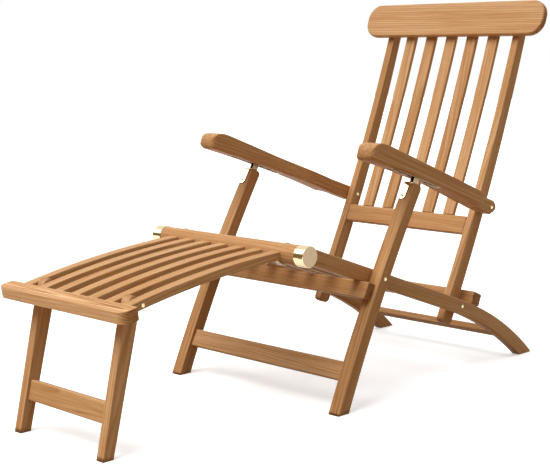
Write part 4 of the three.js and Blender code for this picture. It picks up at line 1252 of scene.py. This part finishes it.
# Studio: pairs of colours are mixed by grime on the floor and by height in the room
studio = {
    "floorSize": 14.0, "floorDrop": 0.0005, "grime": (3.0, 3.0), "glow": 0.42, "floorRough": 0.9,
    "floorSpecular": 0.1,
    # Seen rays find the floor plain white; all other rays find it darker and warmer, which dims and warms the
    # light it bounces onto the chair
    "bounceTint": ((0.29, 0.215, 0.135, 1), (0.34, 0.255, 0.165, 1)),
    "plain": ((0.955, 0.955, 0.955, 1), (0.975, 0.975, 0.975, 1)),
    "room": ((0.165, 0.115, 0.065, 1), (0.52, 0.525, 0.53, 1)),
    "roomRange": (-0.05, 0.75), "darkLow": (0.28, 0.42, 1.0, 0.0), "darkFront": (-0.35, 0.05, 1.0, 0.0),
    "white": (1, 1, 1, 1), "darkSide": (0.20, 0.16, 0.12, 1),
    "suns": (("key", (-0.08, -0.47, 0.87), 2.25, 44), ("side", (-0.70, -0.40, 0.59), 0.75, 30)),
}


# One for rays that show the white background: from the camera, from metal and through glass
def seenRay(tree):
    rays = addNode(tree, "ShaderNodeLightPath")
    either = mathNode(tree, "MAXIMUM", rays.outputs["Is Camera Ray"], rays.outputs["Is Glossy Ray"])
    return mathNode(tree, "MAXIMUM", either, rays.outputs["Is Transmission Ray"])


def buildFloor():
    mesh = bmesh.new()
    bmesh.ops.create_grid(mesh, x_segments=8, y_segments=8, size=studio["floorSize"])
    data = bpy.data.meshes.new("floor")
    mesh.to_mesh(data)
    mesh.free()
    material, tree, shader = newMaterial("paleFloor")
    seen = seenRay(tree)
    place = addNode(tree, "ShaderNodeTexCoord").outputs["Object"]
    grime = noiseNode(tree, place, *studio["grime"]).outputs["Fac"]
    bounceTint = mixColour(tree, grime, *studio["bounceTint"])
    plain = mixColour(tree, grime, *studio["plain"])
    feed(tree, shader, {"Base Color": mixColour(tree, seen, bounceTint, plain), "Emission Color": studio["white"],
                        "Emission Strength": mathNode(tree, "MULTIPLY", seen, studio["glow"]),
                        "Roughness": studio["floorRough"], "Specular IOR Level": studio["floorSpecular"]})
    data.materials.append(material)
    item = bpy.data.objects.new("floor", data)
    item.location = (0, 0, -studio["floorDrop"])
    bpy.context.scene.collection.objects.link(item)


def addSun(name, towards, strength, spreadDeg):
    light = bpy.data.lights.new(name, "SUN")
    light.energy = strength
    light.angle = math.radians(spreadDeg)
    item = bpy.data.objects.new(name, light)
    item.rotation_euler = (-Vector(towards)).to_track_quat("-Z", "Y").to_euler()
    bpy.context.scene.collection.objects.link(item)


def buildLight():
    world = bpy.data.worlds.new("studio")
    world.use_nodes = True
    bpy.context.scene.world = world
    tree = world.node_tree
    parts = addNode(tree, "ShaderNodeSeparateXYZ")
    feed(tree, parts, {0: addNode(tree, "ShaderNodeTexCoord").outputs["Generated"]})
    room = mixColour(tree, rangeNode(tree, parts.outputs["Z"], *studio["roomRange"]), *studio["room"])

    # Metal also mirrors the dark side of the studio, in front of the chair and low down
    low = mathNode(tree, "MULTIPLY", rangeNode(tree, parts.outputs["Z"], *studio["darkLow"]),
                   rangeNode(tree, parts.outputs["Y"], *studio["darkFront"]))
    rays = addNode(tree, "ShaderNodeLightPath")
    card = mathNode(tree, "MULTIPLY", low, rays.outputs["Is Glossy Ray"])
    backdrop = mixColour(tree, card, studio["white"], studio["darkSide"])
    colour = mixColour(tree, seenRay(tree), room, backdrop)
    feed(tree, tree.nodes["Background"], {"Color": colour, "Strength": 1.0})
    for sun in studio["suns"]:
        addSun(*sun)


def buildCamera():
    view = {"place": (2.226, -2.2729, 0.853), "azimuthDeg": 44.93, "elevationDeg": 8.25, "rollDeg": -0.59,
            "sensor": 36, "lens": 84.13, "shiftX": -0.0016, "shiftY": -0.0027}
    azimuth, elevation, roll = [math.radians(view[key]) for key in ("azimuthDeg", "elevationDeg", "rollDeg")]
    right = Vector((math.cos(azimuth), math.sin(azimuth), 0))
    backward = Vector((math.sin(azimuth) * math.cos(elevation), -math.cos(azimuth) * math.cos(elevation),
                       math.sin(elevation)))
    up = backward.cross(right)
    xAxis = right * math.cos(roll) + up * math.sin(roll)
    yAxis = up * math.cos(roll) - right * math.sin(roll)
    data = bpy.data.cameras.new("camera")
    data.sensor_width = view["sensor"]
    data.lens = view["lens"]
    data.shift_x, data.shift_y = view["shiftX"], view["shiftY"]
    item = bpy.data.objects.new("camera", data)
    rows = zip(xAxis, yAxis, backward, view["place"])
    item.matrix_world = Matrix((*rows, (0, 0, 0, 1)))
    bpy.context.scene.collection.objects.link(item)
    bpy.context.scene.camera = item


buildFloor()
buildLight()
buildCamera()
bpy.context.scene.view_settings.view_transform = "Standard"
print("stage made")
